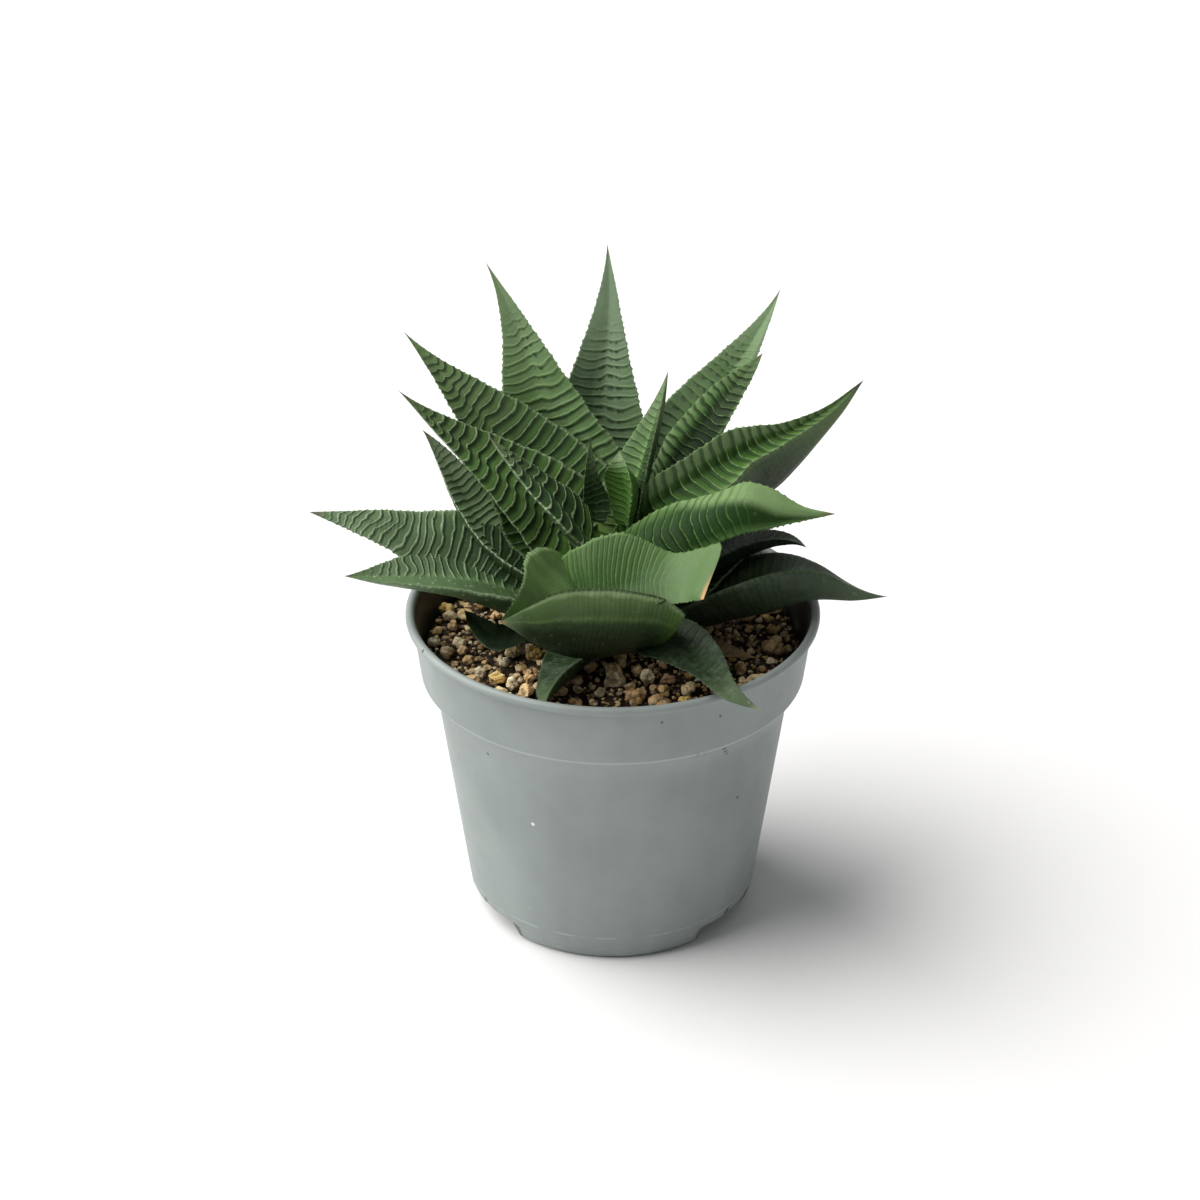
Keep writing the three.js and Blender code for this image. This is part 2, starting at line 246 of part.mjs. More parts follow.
// The section of a leaf at t: its middle M between the margins, sideways direction S, half width w,
// drop D from M to the bottom of the channel, thickness under the channel, and tangent T.
function section(leaf, t) {
  if (leaf.rails) {
    const at = (points, u) => new THREE.CatmullRomCurve3(points.map((p) => new THREE.Vector3(...p)), false, "catmullrom", 0.5).getPoint(u);
    const look = (u) => {
      const [A, C, B, K] = leaf.rails.map((rail) => at(rail, u));
      const M = A.clone().add(B).multiplyScalar(0.5);
      const S = A.clone().sub(B);
      const w = S.length() / 2;
      if (w < 1e-6) S.set(1, 0, 0);
      S.normalize();
      const T = at(leaf.rails[1], Math.min(1, u + 0.01)).sub(at(leaf.rails[1], Math.max(0, u - 0.01))).normalize();
      return { M, S, w, D: C.clone().sub(M), U: T.clone().cross(S).normalize(), T, keel: K && K.sub(M) };
    };
    const mid = look(0.4), here = look(t);
    if (mid.D.dot(mid.U) < 0) here.U.negate();
    return { ...here, body: leaf.thick * Math.pow(Math.max(0, 1 - t * t), 0.8) + 0.3 };
  }
  const P = leaf.P.map((p) => new THREE.Vector3(...p));
  const u = 1 - t;
  const M = new THREE.Vector3()
    .addScaledVector(P[0], u * u * u).addScaledVector(P[1], 3 * u * u * t)
    .addScaledVector(P[2], 3 * u * t * t).addScaledVector(P[3], t * t * t);
  const T = new THREE.Vector3()
    .addScaledVector(P[1].clone().sub(P[0]), 3 * u * u)
    .addScaledVector(P[2].clone().sub(P[1]), 6 * u * t)
    .addScaledVector(P[3].clone().sub(P[2]), 3 * t * t).normalize();
  const a = rad(leaf.az);
  const S0 = new THREE.Vector3(-Math.sin(a), Math.cos(a), 0);
  S0.addScaledVector(T, -T.dot(S0)).normalize();
  const N0 = T.clone().cross(S0);
  const r = rad(leaf.r0 + (leaf.r1 - leaf.r0) * t);
  const S = S0.clone().multiplyScalar(Math.cos(r)).addScaledVector(N0, Math.sin(r));
  const U = S0.clone().multiplyScalar(Math.sin(r)).addScaledVector(N0, -Math.cos(r));
  const w = halfWidth(leaf, t);
  const channel = leaf.ch * w * (1 - 0.35 * t) * (t < 0.15 ? 0.55 + 3 * t : 1);
  const body = leaf.th * w * (1 + 0.9 * t * t) + 0.5 * Math.min(1, 6 * (1 - t));
  return { M, S, w, D: U.clone().multiplyScalar(channel), U, T, body };
}

function leafGeometry(leaf, grow = 0) {
  const pos = [], idx = [];
  const { along: STATIONS, across: ACROSS } = leaf.coarse ? COARSE : FINE;
  const n = ACROSS.length, ring = 2 * n - 2;
  const put = (v) => pos.push(v.x, v.y, v.z);
  const rings = STATIONS.length - 1;
  for (let k = 0; k < rings; k++) {
    const f = section(leaf, STATIONS[k]);
    if (k === 0) f.M.addScaledVector(f.T, -grow);
    const w = f.w + grow * 1.6;
    const at = (s, power, extra, lift) => f.M.clone().addScaledVector(f.S, w * s)
      .addScaledVector(f.D, 1 - Math.pow(Math.abs(s), power))
      .addScaledVector(f.U, extra * (1 - Math.pow(Math.abs(s), power)) + lift);
    for (let j = 0; j < n; j++) put(at(ACROSS[j], 1.7, 0, Math.abs(ACROSS[j]) === 1 ? 0 : -grow * 1.15));
    if (f.keel) { f.D = f.keel; f.body = 0; }
    for (let j = n - 2; j > 0; j--) put(at(ACROSS[j], 1.45, f.body, grow * 1.15));
  }
  for (let k = 0; k < rings - 1; k++) for (let j = 0; j < ring; j++) {
    const a = k * ring + j, b = k * ring + ((j + 1) % ring), c = a + ring, d = b + ring;
    idx.push(a, b, d, a, d, c);
  }
  const tip = section(leaf, 1);
  put(tip.M.addScaledVector(tip.T, grow * 3));
  const tipIndex = rings * ring, last = (rings - 1) * ring;
  for (let j = 0; j < ring; j++) idx.push(last + j, last + ((j + 1) % ring), tipIndex);
  // the base: a strip between the two faces
  for (let j = 0; j < n - 1; j++) {
    const lowA = j === 0 ? 0 : ring - j, lowB = j + 1 === n - 1 ? n - 1 : ring - (j + 1);
    if (j > 0) idx.push(j, lowA, j + 1);
    idx.push(j + 1, lowA, lowB);
  }
  const g = new THREE.BufferGeometry();
  g.setAttribute("position", new THREE.Float32BufferAttribute(pos, 3));
  g.setIndex(idx);
  return g;
}

// ---------------------------------------------------------------- stem
const stemProfile = (grow) => [
  [0, STEM.bottom - grow], [STEM.rBottom * 0.7 + grow, STEM.bottom - grow], [STEM.rBottom + grow, STEM.bottom + 4],
  [STEM.rBottom + grow, 66], [STEM.rCrown + grow, 72], [STEM.rCrown * 0.8 + grow, 77], [STEM.rTop + grow, STEM.top - 2 + grow], [0, STEM.top + grow],
];
const stemAt = (grow) => {
  const g = lathe(stemProfile(grow), 16);
  g.translate(STEM.x, STEM.y, 0);
  return solid(g);
};

// ---------------------------------------------------------------- stones
function stoneGeometry(stone, grow = 0, detail = Math.max(...stone.h) > 2 ? 1 : 0) {
  const g = new THREE.IcosahedronGeometry(1, detail);
  const p = g.attributes.position;
  const v = new THREE.Vector3();
  for (let i = 0; i < p.count; i++) {
    v.fromBufferAttribute(p, i).normalize();
    const k = stone.seed;
    const bump = stone.plain ? 1 : 1 + 0.13 * Math.sin(3.1 * v.x + 1.7 * k) * Math.cos(2.7 * v.y + 2.3 * k) + 0.09 * Math.sin(5.3 * v.z + 4.1 * k + 2.0 * v.x) + 0.06 * Math.cos(6.1 * v.y - 1.3 * k);
    p.setXYZ(i, v.x * (stone.h[0] * bump + grow), v.y * (stone.h[1] * bump + grow), v.z * (stone.h[2] * bump + grow));
  }
  g.rotateZ(rad(stone.turn));
  g.translate(...stone.c);
  return g;
}

// ---------------------------------------------------------------- assembly
const group = new THREE.Group();
const add = (name, body, material) => {
  const mesh = new THREE.Mesh(toGeometry(body), material);
  mesh.name = name;
  group.add(mesh);
};

add("pot", pot, mat(POT_GREY, 0.6));

const stem = stemAt(0), stemRoom = stemAt(GAP);
add("stem", stem, mat(STEM_GREEN, 0.7));

const leafRooms = LEAVES.map((leaf) => solid(leafGeometry(leaf, GAP)));
const soilRoom = solid(lathe([[0, 40], [41.6, 40], [41.6, 62.6 + GAP], ...SOIL_TOP.slice(1, -1).reverse().map(([r, z]) => [r, z + GAP]), [0, 66.5 + GAP]], SOIL_SEGMENTS));
const stoneRooms = STONES.map((stone) => solid(stoneGeometry(stone, GAP)));
const dimples = STONES.map((stone) => solid(stoneGeometry({ ...stone, plain: true, h: stone.h.map((x) => x * 1.3) }, GAP, 0)));
const potRoom = solid(lathe([[0, 40], [38, 40], [39.2, 52.4], [42.4, 57.1], [44.0, 69.7], [44.9, 70.0], [45.42, 71.1], [45.0, 72.0], [44.1, POT_HEIGHT + GAP + 0.08], [43.1, 72.1], [42.5, 71.1], [42.0, 69.6], [40.4, 58.2], [37.0, 53.0], [0, 52.9]]));
const clear = (a, b) => {
  const p = a.boundingBox(), q = b.boundingBox();
  return [0, 1, 2].some((k) => p.min[k] > q.max[k] || q.min[k] > p.max[k]);
};
const placed = [];
LEAVES.forEach((leaf, i) => {
  let body = solid(leafGeometry(leaf));
  for (const room of [stemRoom, soilRoom, potRoom, ...stoneRooms, ...leafRooms.slice(0, i)]) {
    if (!clear(body, room)) body = body.subtract(room);
  }
  // a tight fold can reach out of its own room: there the later leaf is relieved further
  placed.forEach((other, k) => {
    for (const grow of [2.5 * GAP, 5 * GAP]) {
      if (clear(body, other) || body.intersect(other).volume() < 1e-5) return;
      body = body.subtract(solid(leafGeometry(LEAVES[k], grow)));
    }
    if (body.intersect(other).volume() > 1e-5) body = body.subtract(other.translate([0, 0, GAP])).subtract(other);
  });
  body = settle(body);
  placed.push(body);
  add(leaf.name, body, mat(LEAF_GREENS[Math.min(LEAF_GREENS.length - 1, Math.floor((5 * i) / LEAVES.length))], 0.5));
});

let soil = solid(lathe(soilProfile, SOIL_SEGMENTS));
for (const room of [stemRoom, ...notches(WALL + GAP), ...dimples]) if (!clear(soil, room)) soil = soil.subtract(room);
add("soil", settle(soil), mat(SOIL_BROWN, 0.95));

STONES.forEach((stone, i) => add(stone.name, solid(stoneGeometry(stone)), mat(GRIT_TONES[i % GRIT_TONES.length], 0.9)));

export default group;
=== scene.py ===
import json
import math
import bpy
import numpy as np
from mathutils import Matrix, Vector

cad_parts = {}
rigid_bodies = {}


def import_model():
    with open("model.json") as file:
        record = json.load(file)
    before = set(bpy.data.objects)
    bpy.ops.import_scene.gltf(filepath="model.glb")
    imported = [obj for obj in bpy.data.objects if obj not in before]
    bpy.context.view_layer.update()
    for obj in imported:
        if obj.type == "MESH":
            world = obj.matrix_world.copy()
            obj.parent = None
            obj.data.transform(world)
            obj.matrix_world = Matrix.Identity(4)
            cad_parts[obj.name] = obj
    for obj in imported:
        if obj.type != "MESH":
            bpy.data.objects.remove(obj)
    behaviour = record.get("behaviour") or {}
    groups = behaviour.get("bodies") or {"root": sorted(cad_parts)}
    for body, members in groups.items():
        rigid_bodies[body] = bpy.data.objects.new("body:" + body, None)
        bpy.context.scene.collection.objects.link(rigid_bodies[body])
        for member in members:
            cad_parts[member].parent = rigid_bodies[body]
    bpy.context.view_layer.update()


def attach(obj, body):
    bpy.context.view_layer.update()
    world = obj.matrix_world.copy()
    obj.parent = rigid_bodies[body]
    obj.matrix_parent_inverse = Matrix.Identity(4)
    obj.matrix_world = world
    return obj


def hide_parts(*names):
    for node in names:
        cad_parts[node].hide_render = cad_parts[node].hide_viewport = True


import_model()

MM = 0.001

# ------------------------------------------------------------------ camera
PITCH = 0.498
cam_data = bpy.data.cameras.new("camera")
cam_data.sensor_width = 36.0
cam_data.lens = 2879.3 * 36.0 / 1200.0
cam_data.clip_start = 0.01
cam_data.clip_end = 20.0
cam = bpy.data.objects.new("camera", cam_data)
cam.location = (-2.78 * MM, -549.0 * MM, 371.6 * MM)
cam.rotation_euler = (math.pi / 2 - PITCH, 0.0, 0.0)
bpy.context.scene.collection.objects.link(cam)
bpy.context.scene.camera = cam

# ------------------------------------------------------------------ tables
LEAVES = [
    {'name': 'leaf_10', 'rails': [[[-5.5, -6.0, 84.0], [-10.8, -14.0, 90.3], [-7.6, -16.0, 94.2], [-2.8, -17.0, 97.3], [3.0, -17.5, 98.2], [8.0, -18.5, 96.6], [12.8, -20.5, 95.3], [18.2, -23.0, 97.8], [22.0, -26.5, 100.1], [18.2, -36.0, 92.8]], [[-1.5, -7.0, 78.0], [-7.6, -19.0, 85.8], [-4.9, -22.0, 87.0], [-1.1, -23.5, 88.2], [3.0, -24.5, 89.7], [7.1, -25.5, 91.0], [11.0, -27.0, 91.3], [14.6, -29.0, 92.1], [17.6, -32.0, 94.4], [18.2, -36.0, 92.8]], [[3.0, -9.0, 79.0], [-5.3, -24.0, 82.6], [-2.8, -27.0, 84.0], [1.3, -29.0, 85.8], [5.4, -30.0, 87.3], [9.5, -31.0, 88.8], [12.6, -32.0, 89.8], [15.0, -33.0, 90.6], [16.9, -35.0, 92.1], [18.2, -36.0, 92.8]]], 'thick': 3.2, 'az': 0},
    {'name': 'leaf_09', 'rails': [[[-6.0, -5.0, 80.0], [-11.3, -7.0, 88.3], [-15.5, -9.0, 90.7], [-17.7, -13.0, 91.4], [-18.6, -20.0, 92.3], [-18.5, -27.0, 92.9], [-19.3, -33.0, 93.1], [-20.7, -39.0, 93.2], [-21.8, -43.0, 93.3], [-22.8, -46.5, 93.4]], [[0.6, -8.9, 72.7], [6.3, -18.8, 77.9], [3.2, -22.3, 79.8], [-0.9, -25.0, 80.6], [-5.0, -27.6, 81.1], [-9.1, -29.7, 81.7], [-13.0, -32.0, 83.2], [-17.0, -35.8, 85.5], [-20.3, -41.6, 90.0], [-22.8, -46.5, 93.4]], [[6.0, -9.0, 75.0], [14.7, -23.0, 81.3], [11.6, -29.5, 88.7], [6.4, -33.5, 92.9], [0.7, -35.6, 95.0], [-5.2, -36.8, 95.8], [-10.8, -38.2, 95.6], [-16.0, -41.0, 94.7], [-20.0, -44.0, 93.8], [-22.8, -46.5, 93.4]], [[1.0, -10.0, 70.0], [8.8, -21.0, 74.0], [6.0, -24.0, 74.2], [1.8, -26.0, 74.2], [-2.8, -27.5, 74.1], [-7.6, -28.5, 74.6], [-11.9, -30.0, 76.9], [-16.1, -33.5, 80.8], [-20.0, -40.5, 88.0], [-22.8, -46.5, 93.4]]], 'thick': 3.0, 'az': 0},
    {'name': 'leaf_16', 'az': 120, 'W': 3.3, 'q': 1.44, 'wide': 0.23, 'b': 0.72, 'e': 1.12, 'r0': -3, 'r1': -4, 'ch': 0.35, 'th': 0.5, 'P': [[-4.0, 3.5, 90.7], [-2.5, 6.3, 95.0], [-5.6, 4.6, 96.9], [-4.7, 7.0, 109.5]]},
    {'name': 'leaf_17', 'az': 20, 'W': 5.3, 'q': 1.56, 'wide': 0.33, 'b': 0.71, 'e': 1.17, 'r0': 1, 'r1': 32, 'ch': 0.35, 'th': 0.5, 'P': [[1.8, 1.4, 90.3], [0.8, 3.5, 100.4], [0.5, -0.1, 103.0], [1.3, 6.5, 106.0]]},
    {'name': 'leaf_05', 'rails': [[[-3.5, -7.0, 80.0], [-3.4, -11.0, 85.6], [-5.9, -14.0, 92.6], [-9.0, -14.5, 96.7], [-12.2, -13.5, 99.9], [-15.3, -11.0, 102.1], [-18.3, -8.5, 104.6], [-21.0, -5.5, 107.1], [-23.6, -2.0, 109.4], [-26.2, 1.0, 111.9]], [[-5.0, -2.0, 80.0], [-4.1, -4.0, 87.2], [-7.0, -5.0, 93.2], [-10.0, -5.2, 97.3], [-12.7, -4.8, 100.5], [-15.4, -4.0, 102.9], [-18.2, -3.0, 105.2], [-20.7, -2.0, 107.5], [-23.4, -0.5, 109.6], [-26.2, 1.0, 111.9]], [[-6.0, 2.5, 83.0], [-4.5, 3.5, 92.2], [-7.1, 5.0, 95.8], [-9.6, 5.5, 97.7], [-12.2, 5.0, 99.6], [-14.7, 3.8, 101.9], [-17.2, 2.4, 104.5], [-20.1, 1.4, 107.1], [-23.1, 1.0, 109.4], [-26.2, 1.0, 111.9]]], 'thick': 3.4, 'az': 0},
    {'name': 'leaf_11', 'rails': [[[-0.5, 6.0, 84.0], [2.8, -2.0, 91.2], [7.4, -3.0, 95.3], [12.9, -4.0, 98.6], [17.9, -5.0, 100.6], [22.9, -6.0, 102.5], [27.8, -6.5, 104.9], [33.4, -9.0, 104.4], [39.6, -12.0, 101.9], [46.3, -14.0, 101.1]], [[2.0, -3.0, 80.0], [5.3, -7.0, 87.6], [9.5, -9.0, 91.0], [14.0, -11.0, 94.4], [18.4, -12.0, 97.0], [23.1, -13.0, 100.3], [28.4, -13.5, 102.5], [33.8, -14.0, 102.1], [40.1, -14.0, 101.2], [46.3, -14.0, 101.1]], [[4.0, -9.0, 81.0], [8.2, -13.0, 86.4], [11.5, -15.0, 89.4], [15.4, -16.0, 91.8], [19.3, -16.5, 94.2], [23.8, -17.0, 96.9], [28.6, -17.0, 98.3], [34.2, -16.0, 99.2], [40.5, -15.0, 100.2], [46.3, -14.0, 101.1]]], 'thick': 2.8, 'az': 0},
    {'name': 'leaf_15', 'az': 58, 'W': 7.1, 'q': 1.41, 'wide': 0.23, 'b': 0.72, 'e': 1.19, 'r0': -19, 'r1': -31, 'ch': 0.5, 'th': 0.4, 'P': [[0.1, 3.4, 86.1], [0.4, 6.9, 98.8], [7.6, 10.8, 106.7], [11.9, 18.1, 119.5]]},
    {'name': 'leaf_12', 'rails': [[[-1.5, 4.5, 85.0], [5.3, 3.0, 97.3], [9.0, 5.0, 100.4], [13.9, 7.0, 102.9], [19.1, 9.0, 105.5], [24.5, 11.0, 108.4], [30.5, 12.5, 108.9], [37.1, 14.0, 109.1], [45.7, 15.5, 112.0], [53.9, 17.0, 117.7]], [[1.5, 1.5, 81.0], [7.9, 2.6, 92.7], [11.8, 4.3, 95.7], [17.0, 6.2, 98.6], [22.2, 8.3, 101.1], [27.8, 10.5, 103.4], [33.4, 12.3, 105.6], [39.5, 14.1, 107.4], [46.8, 15.7, 111.6], [53.9, 17.0, 117.7]], [[4.0, -4.0, 84.0], [9.6, -3.0, 93.9], [14.3, -1.5, 95.2], [20.0, 0.5, 97.3], [25.4, 3.0, 99.7], [29.7, 6.0, 103.2], [35.2, 9.0, 105.3], [40.9, 12.0, 107.7], [47.6, 15.0, 111.5], [53.9, 17.0, 117.7]], [[7.0, 3.0, 78.0], [12.9, 7.0, 85.4], [17.7, 9.5, 86.3], [23.8, 12.0, 87.7], [30.0, 14.0, 89.9], [35.5, 15.8, 92.1], [40.2, 17.0, 96.7], [44.9, 17.6, 102.7], [50.0, 17.6, 110.1], [53.9, 17.0, 117.7]]], 'thick': 3.6, 'az': 0},
    {'name': 'leaf_14', 'rails': [[[-2.0, 7.0, 84.0], [7.6, 12.0, 95.2], [9.2, 16.0, 98.6], [12.1, 20.0, 103.2], [16.9, 25.0, 107.4], [22.6, 28.0, 111.8], [27.9, 30.0, 114.7], [32.9, 31.0, 117.8]], [[0.0, 5.0, 81.0], [9.1, 9.5, 93.1], [12.0, 13.0, 96.9], [15.7, 17.0, 101.5], [20.4, 22.0, 105.6], [25.7, 26.0, 110.5], [29.6, 29.0, 114.2], [32.9, 31.0, 117.8]], [[1.0, 3.0, 80.0], [10.2, 7.0, 91.4], [14.5, 9.5, 95.5], [19.3, 13.5, 99.8], [23.7, 18.0, 104.9], [28.1, 23.0, 110.7], [31.1, 28.0, 114.6], [32.9, 31.0, 117.8]]], 'thick': 3.2, 'az': 0},
    {'name': 'leaf_04', 'az': 163, 'W': 12.7, 'q': 1.43, 'wide': 0.19, 'b': 0.71, 'e': 1.49, 'r0': -21, 'r1': -13, 'ch': 0.4, 'th': 0.3, 'P': [[-5.8, 1.2, 84.1], [-11.2, 3.5, 97.7], [-33.2, 8.6, 106.4], [-46.0, 10.7, 118.4]]},
    {'name': 'leaf_08', 'az': 190, 'W': 12.4, 'q': 1.23, 'wide': 0.3, 'b': 0.71, 'e': 1.22, 'r0': 4, 'r1': -19, 'ch': 0.35, 'th': 0.42, 'P': [[-5.9, -0.7, 70.6], [-21.8, 0.5, 87.9], [-43.0, -10.5, 84.7], [-57.0, -12.4, 85.6]]},
    {'name': 'leaf_03', 'az': 146, 'W': 14.0, 'q': 1.22, 'wide': 0.17, 'b': 0.73, 'e': 1.39, 'r0': -36, 'r1': -16, 'ch': 0.4, 'th': 0.3, 'P': [[-5.3, 2.2, 82.0], [-17.0, 14.7, 104.3], [-32.2, 19.7, 111.4], [-45.7, 28.4, 124.4]]},
    {'name': 'leaf_13', 'az': 48, 'W': 14.6, 'q': 1.27, 'wide': 0.21, 'b': 0.72, 'e': 1.36, 'r0': -13, 'r1': 5, 'ch': 0.4, 'th': 0.3, 'P': [[0.7, 3.0, 77.4], [7.8, 23.1, 100.5], [28.4, 30.6, 112.6], [37.4, 45.2, 127.5]]},
    {'name': 'leaf_02', 'az': 124, 'W': 15.0, 'q': 1.06, 'wide': 0.27, 'b': 0.73, 'e': 1.39, 'r0': -30, 'r1': -65, 'ch': 0.4, 'th': 0.3, 'P': [[-4.2, 3.3, 80.3], [-15.7, 18.6, 99.0], [-16.9, 29.3, 119.9], [-27.9, 37.5, 136.9]]},
    {'name': 'leaf_01', 'az': 88, 'W': 13.6, 'q': 1.0, 'wide': 0.28, 'b': 0.71, 'e': 1.23, 'r0': -5, 'r1': -33, 'ch': 0.4, 'th': 0.3, 'P': [[-1.9, 4.0, 78.1], [-6.5, 27.5, 99.0], [0.4, 34.8, 119.4], [-1.2, 43.0, 138.8]]},
    {'name': 'leaf_07', 'rails': [[[-7.0, -3.0, 69.5], [-14.0, -3.5, 71.5], [-21.0, -4.0, 73.5], [-27.0, -4.5, 75.5], [-33.0, -5.0, 78.0], [-38.5, -5.2, 81.0], [-43.5, -5.0, 84.5], [-48.0, -4.2, 87.7], [-53.0, -3.0, 90.0], [-59.0, -1.0, 92.0], [-65.0, 1.0, 94.0]], [[-5.0, 2.0, 71.0], [-12.0, 3.0, 74.0], [-19.0, 4.0, 76.5], [-25.0, 4.0, 79.5], [-31.0, 3.8, 82.0], [-37.0, 3.3, 85.0], [-42.5, 2.6, 87.2], [-47.5, 1.8, 89.3], [-53.0, 1.0, 91.0], [-59.0, 1.0, 92.6], [-65.0, 1.0, 94.0]], [[-4.0, 9.0, 73.0], [-11.0, 12.0, 77.0], [-18.0, 14.0, 81.0], [-24.0, 15.0, 84.0], [-30.0, 14.0, 87.0], [-36.0, 12.0, 89.0], [-42.0, 9.0, 90.0], [-47.0, 6.0, 92.0], [-52.0, 4.0, 93.0], [-58.0, 2.0, 93.7], [-65.0, 1.0, 94.0]]], 'thick': 2.8, 'az': 0},
    {'name': 'leaf_06', 'az': 154, 'W': 8.7, 'q': 1.43, 'wide': 0.28, 'b': 0.64, 'e': 1.2, 'r0': 25, 'r1': -22, 'ch': 0.4, 'th': 0.3, 'P': [[-5.6, 1.8, 75.3], [-26.4, 5.1, 81.3], [-32.3, 17.4, 94.4], [-41.3, 16.3, 106.3]]},
    {'name': 'leaf_18', 'az': 351, 'W': 13.0, 'q': 1.29, 'wide': 0.32, 'b': 0.63, 'e': 1.29, 'r0': -5, 'r1': -35, 'ch': 0.35, 'th': 0.42, 'P': [[2.0, -0.6, 66.0], [42.9, -1.0, 95.6], [43.4, -3.5, 78.0], [58.0, -15.6, 82.4]]},
    {'name': 'leaf_19', 'az': 16, 'W': 8.1, 'q': 1.5, 'wide': 0.23, 'b': 0.72, 'e': 1.14, 'r0': -27, 'r1': -9, 'ch': 0.4, 'th': 0.3, 'P': [[1.8, 1.1, 70.7], [17.8, 7.2, 79.8], [34.1, 18.8, 85.1], [42.0, 3.3, 84.1]]},
    {'name': 'leaf_20', 'rails': [[[4.0, -3.0, 75.0], [10.0, -11.6, 76.5], [16.2, -16.9, 77.5], [19.8, -23.4, 78.0], [22.3, -29.8, 77.5], [23.9, -35.9, 76.0], [26.0, -41.6, 74.6], [30.0, -44.4, 71.5]], [[2.0, -5.0, 72.0], [6.8, -15.0, 74.0], [13.0, -22.0, 75.0], [17.0, -28.4, 75.5], [19.7, -33.4, 75.3], [21.8, -38.5, 74.9], [24.3, -43.6, 74.1], [30.0, -44.4, 71.5]], [[-1.0, -8.0, 73.0], [3.1, -22.7, 74.0], [9.3, -29.6, 75.0], [13.7, -33.6, 75.4], [16.9, -37.0, 75.2], [19.7, -40.8, 74.8], [22.8, -44.4, 74.1], [30.0, -44.4, 71.5]]], 'thick': 1.5, 'az': 0},
    {'name': 'leaf_21', 'az': 252, 'W': 7.4, 'q': 1.51, 'wide': 0.25, 'b': 0.71, 'e': 0.94, 'r0': 3, 'r1': 51, 'ch': 0.3, 'th': 0.28, 'P': [[-3.2, -3.8, 69.3], [-7.2, -19.0, 72.9], [-15.1, -22.4, 67.1], [-14.2, -38.8, 69.5]]},
    {'name': 'leaf_22', 'rails': [[[-5.0, -5.0, 71.5], [-14.6, -9.6, 70.5], [-19.8, -13.9, 70.2], [-23.4, -16.9, 70.2], [-26.1, -17.2, 70.4], [-28.6, -14.4, 71.0], [-30.9, -9.6, 72.0], [-32.0, -6.1, 74.0]], [[-6.0, -3.0, 70.0], [-14.0, -3.9, 69.8], [-18.9, -6.7, 69.4], [-22.5, -9.4, 69.4], [-25.1, -9.9, 69.7], [-27.7, -8.3, 70.5], [-30.1, -6.5, 72.0], [-32.0, -6.1, 74.0]], [[-7.0, -1.0, 71.0], [-13.6, -1.1, 70.5], [-17.9, -3.0, 70.3], [-21.6, -5.4, 70.4], [-24.3, -6.6, 70.8], [-26.9, -6.1, 71.5], [-29.7, -5.8, 72.8], [-32.0, -6.1, 74.0]]], 'thick': 1.2, 'az': 0},
    {'name': 'leaf_23', 'az': 330, 'W': 6.5, 'q': 1.5, 'wide': 0.25, 'b': 0.72, 'e': 1.2, 'r0': 0, 'r1': 10, 'ch': 0.2, 'th': 0.2, 'P': [[1.5, -2.0, 67.5], [11.7, -7.9, 68.3], [20.9, -13.2, 68.9], [30.6, -18.8, 69.3]]},
    {'name': 'leaf_24', 'az': 66, 'W': 13.0, 'q': 1.5, 'wide': 0.25, 'b': 0.72, 'e': 1.2, 'r0': 0, 'r1': 0, 'ch': 0.4, 'th': 0.3, 'P': [[-0.4, 3.7, 74.0], [5.2, 16.3, 85.6], [10.6, 28.2, 94.7], [16.6, 41.7, 103.2]]},
    {'name': 'leaf_25', 'az': 108, 'W': 13.5, 'q': 1.5, 'wide': 0.25, 'b': 0.72, 'e': 1.2, 'r0': 0, 'r1': 0, 'ch': 0.4, 'th': 0.3, 'P': [[-3.2, 3.8, 72.0], [-7.8, 17.8, 83.5], [-12.1, 31.1, 92.6], [-16.9, 46.0, 100.9]]},
    {'name': 'leaf_27', 'az': 30, 'W': 12.5, 'q': 1.5, 'wide': 0.25, 'b': 0.72, 'e': 1.2, 'r0': 0, 'r1': 0, 'ch': 0.4, 'th': 0.3, 'P': [[1.5, 2.0, 69.0], [14.6, 9.6, 75.7], [26.7, 16.6, 80.3], [39.9, 24.2, 83.5]]},
    {'name': 'leaf_26', 'az': 138, 'W': 12.5, 'q': 1.5, 'wide': 0.25, 'b': 0.72, 'e': 1.2, 'r0': 0, 'r1': 0, 'ch': 0.4, 'th': 0.3, 'P': [[-5.0, 2.7, 69.5], [-16.0, 12.6, 76.8], [-26.3, 21.9, 81.8], [-37.6, 32.0, 85.6]]},
]
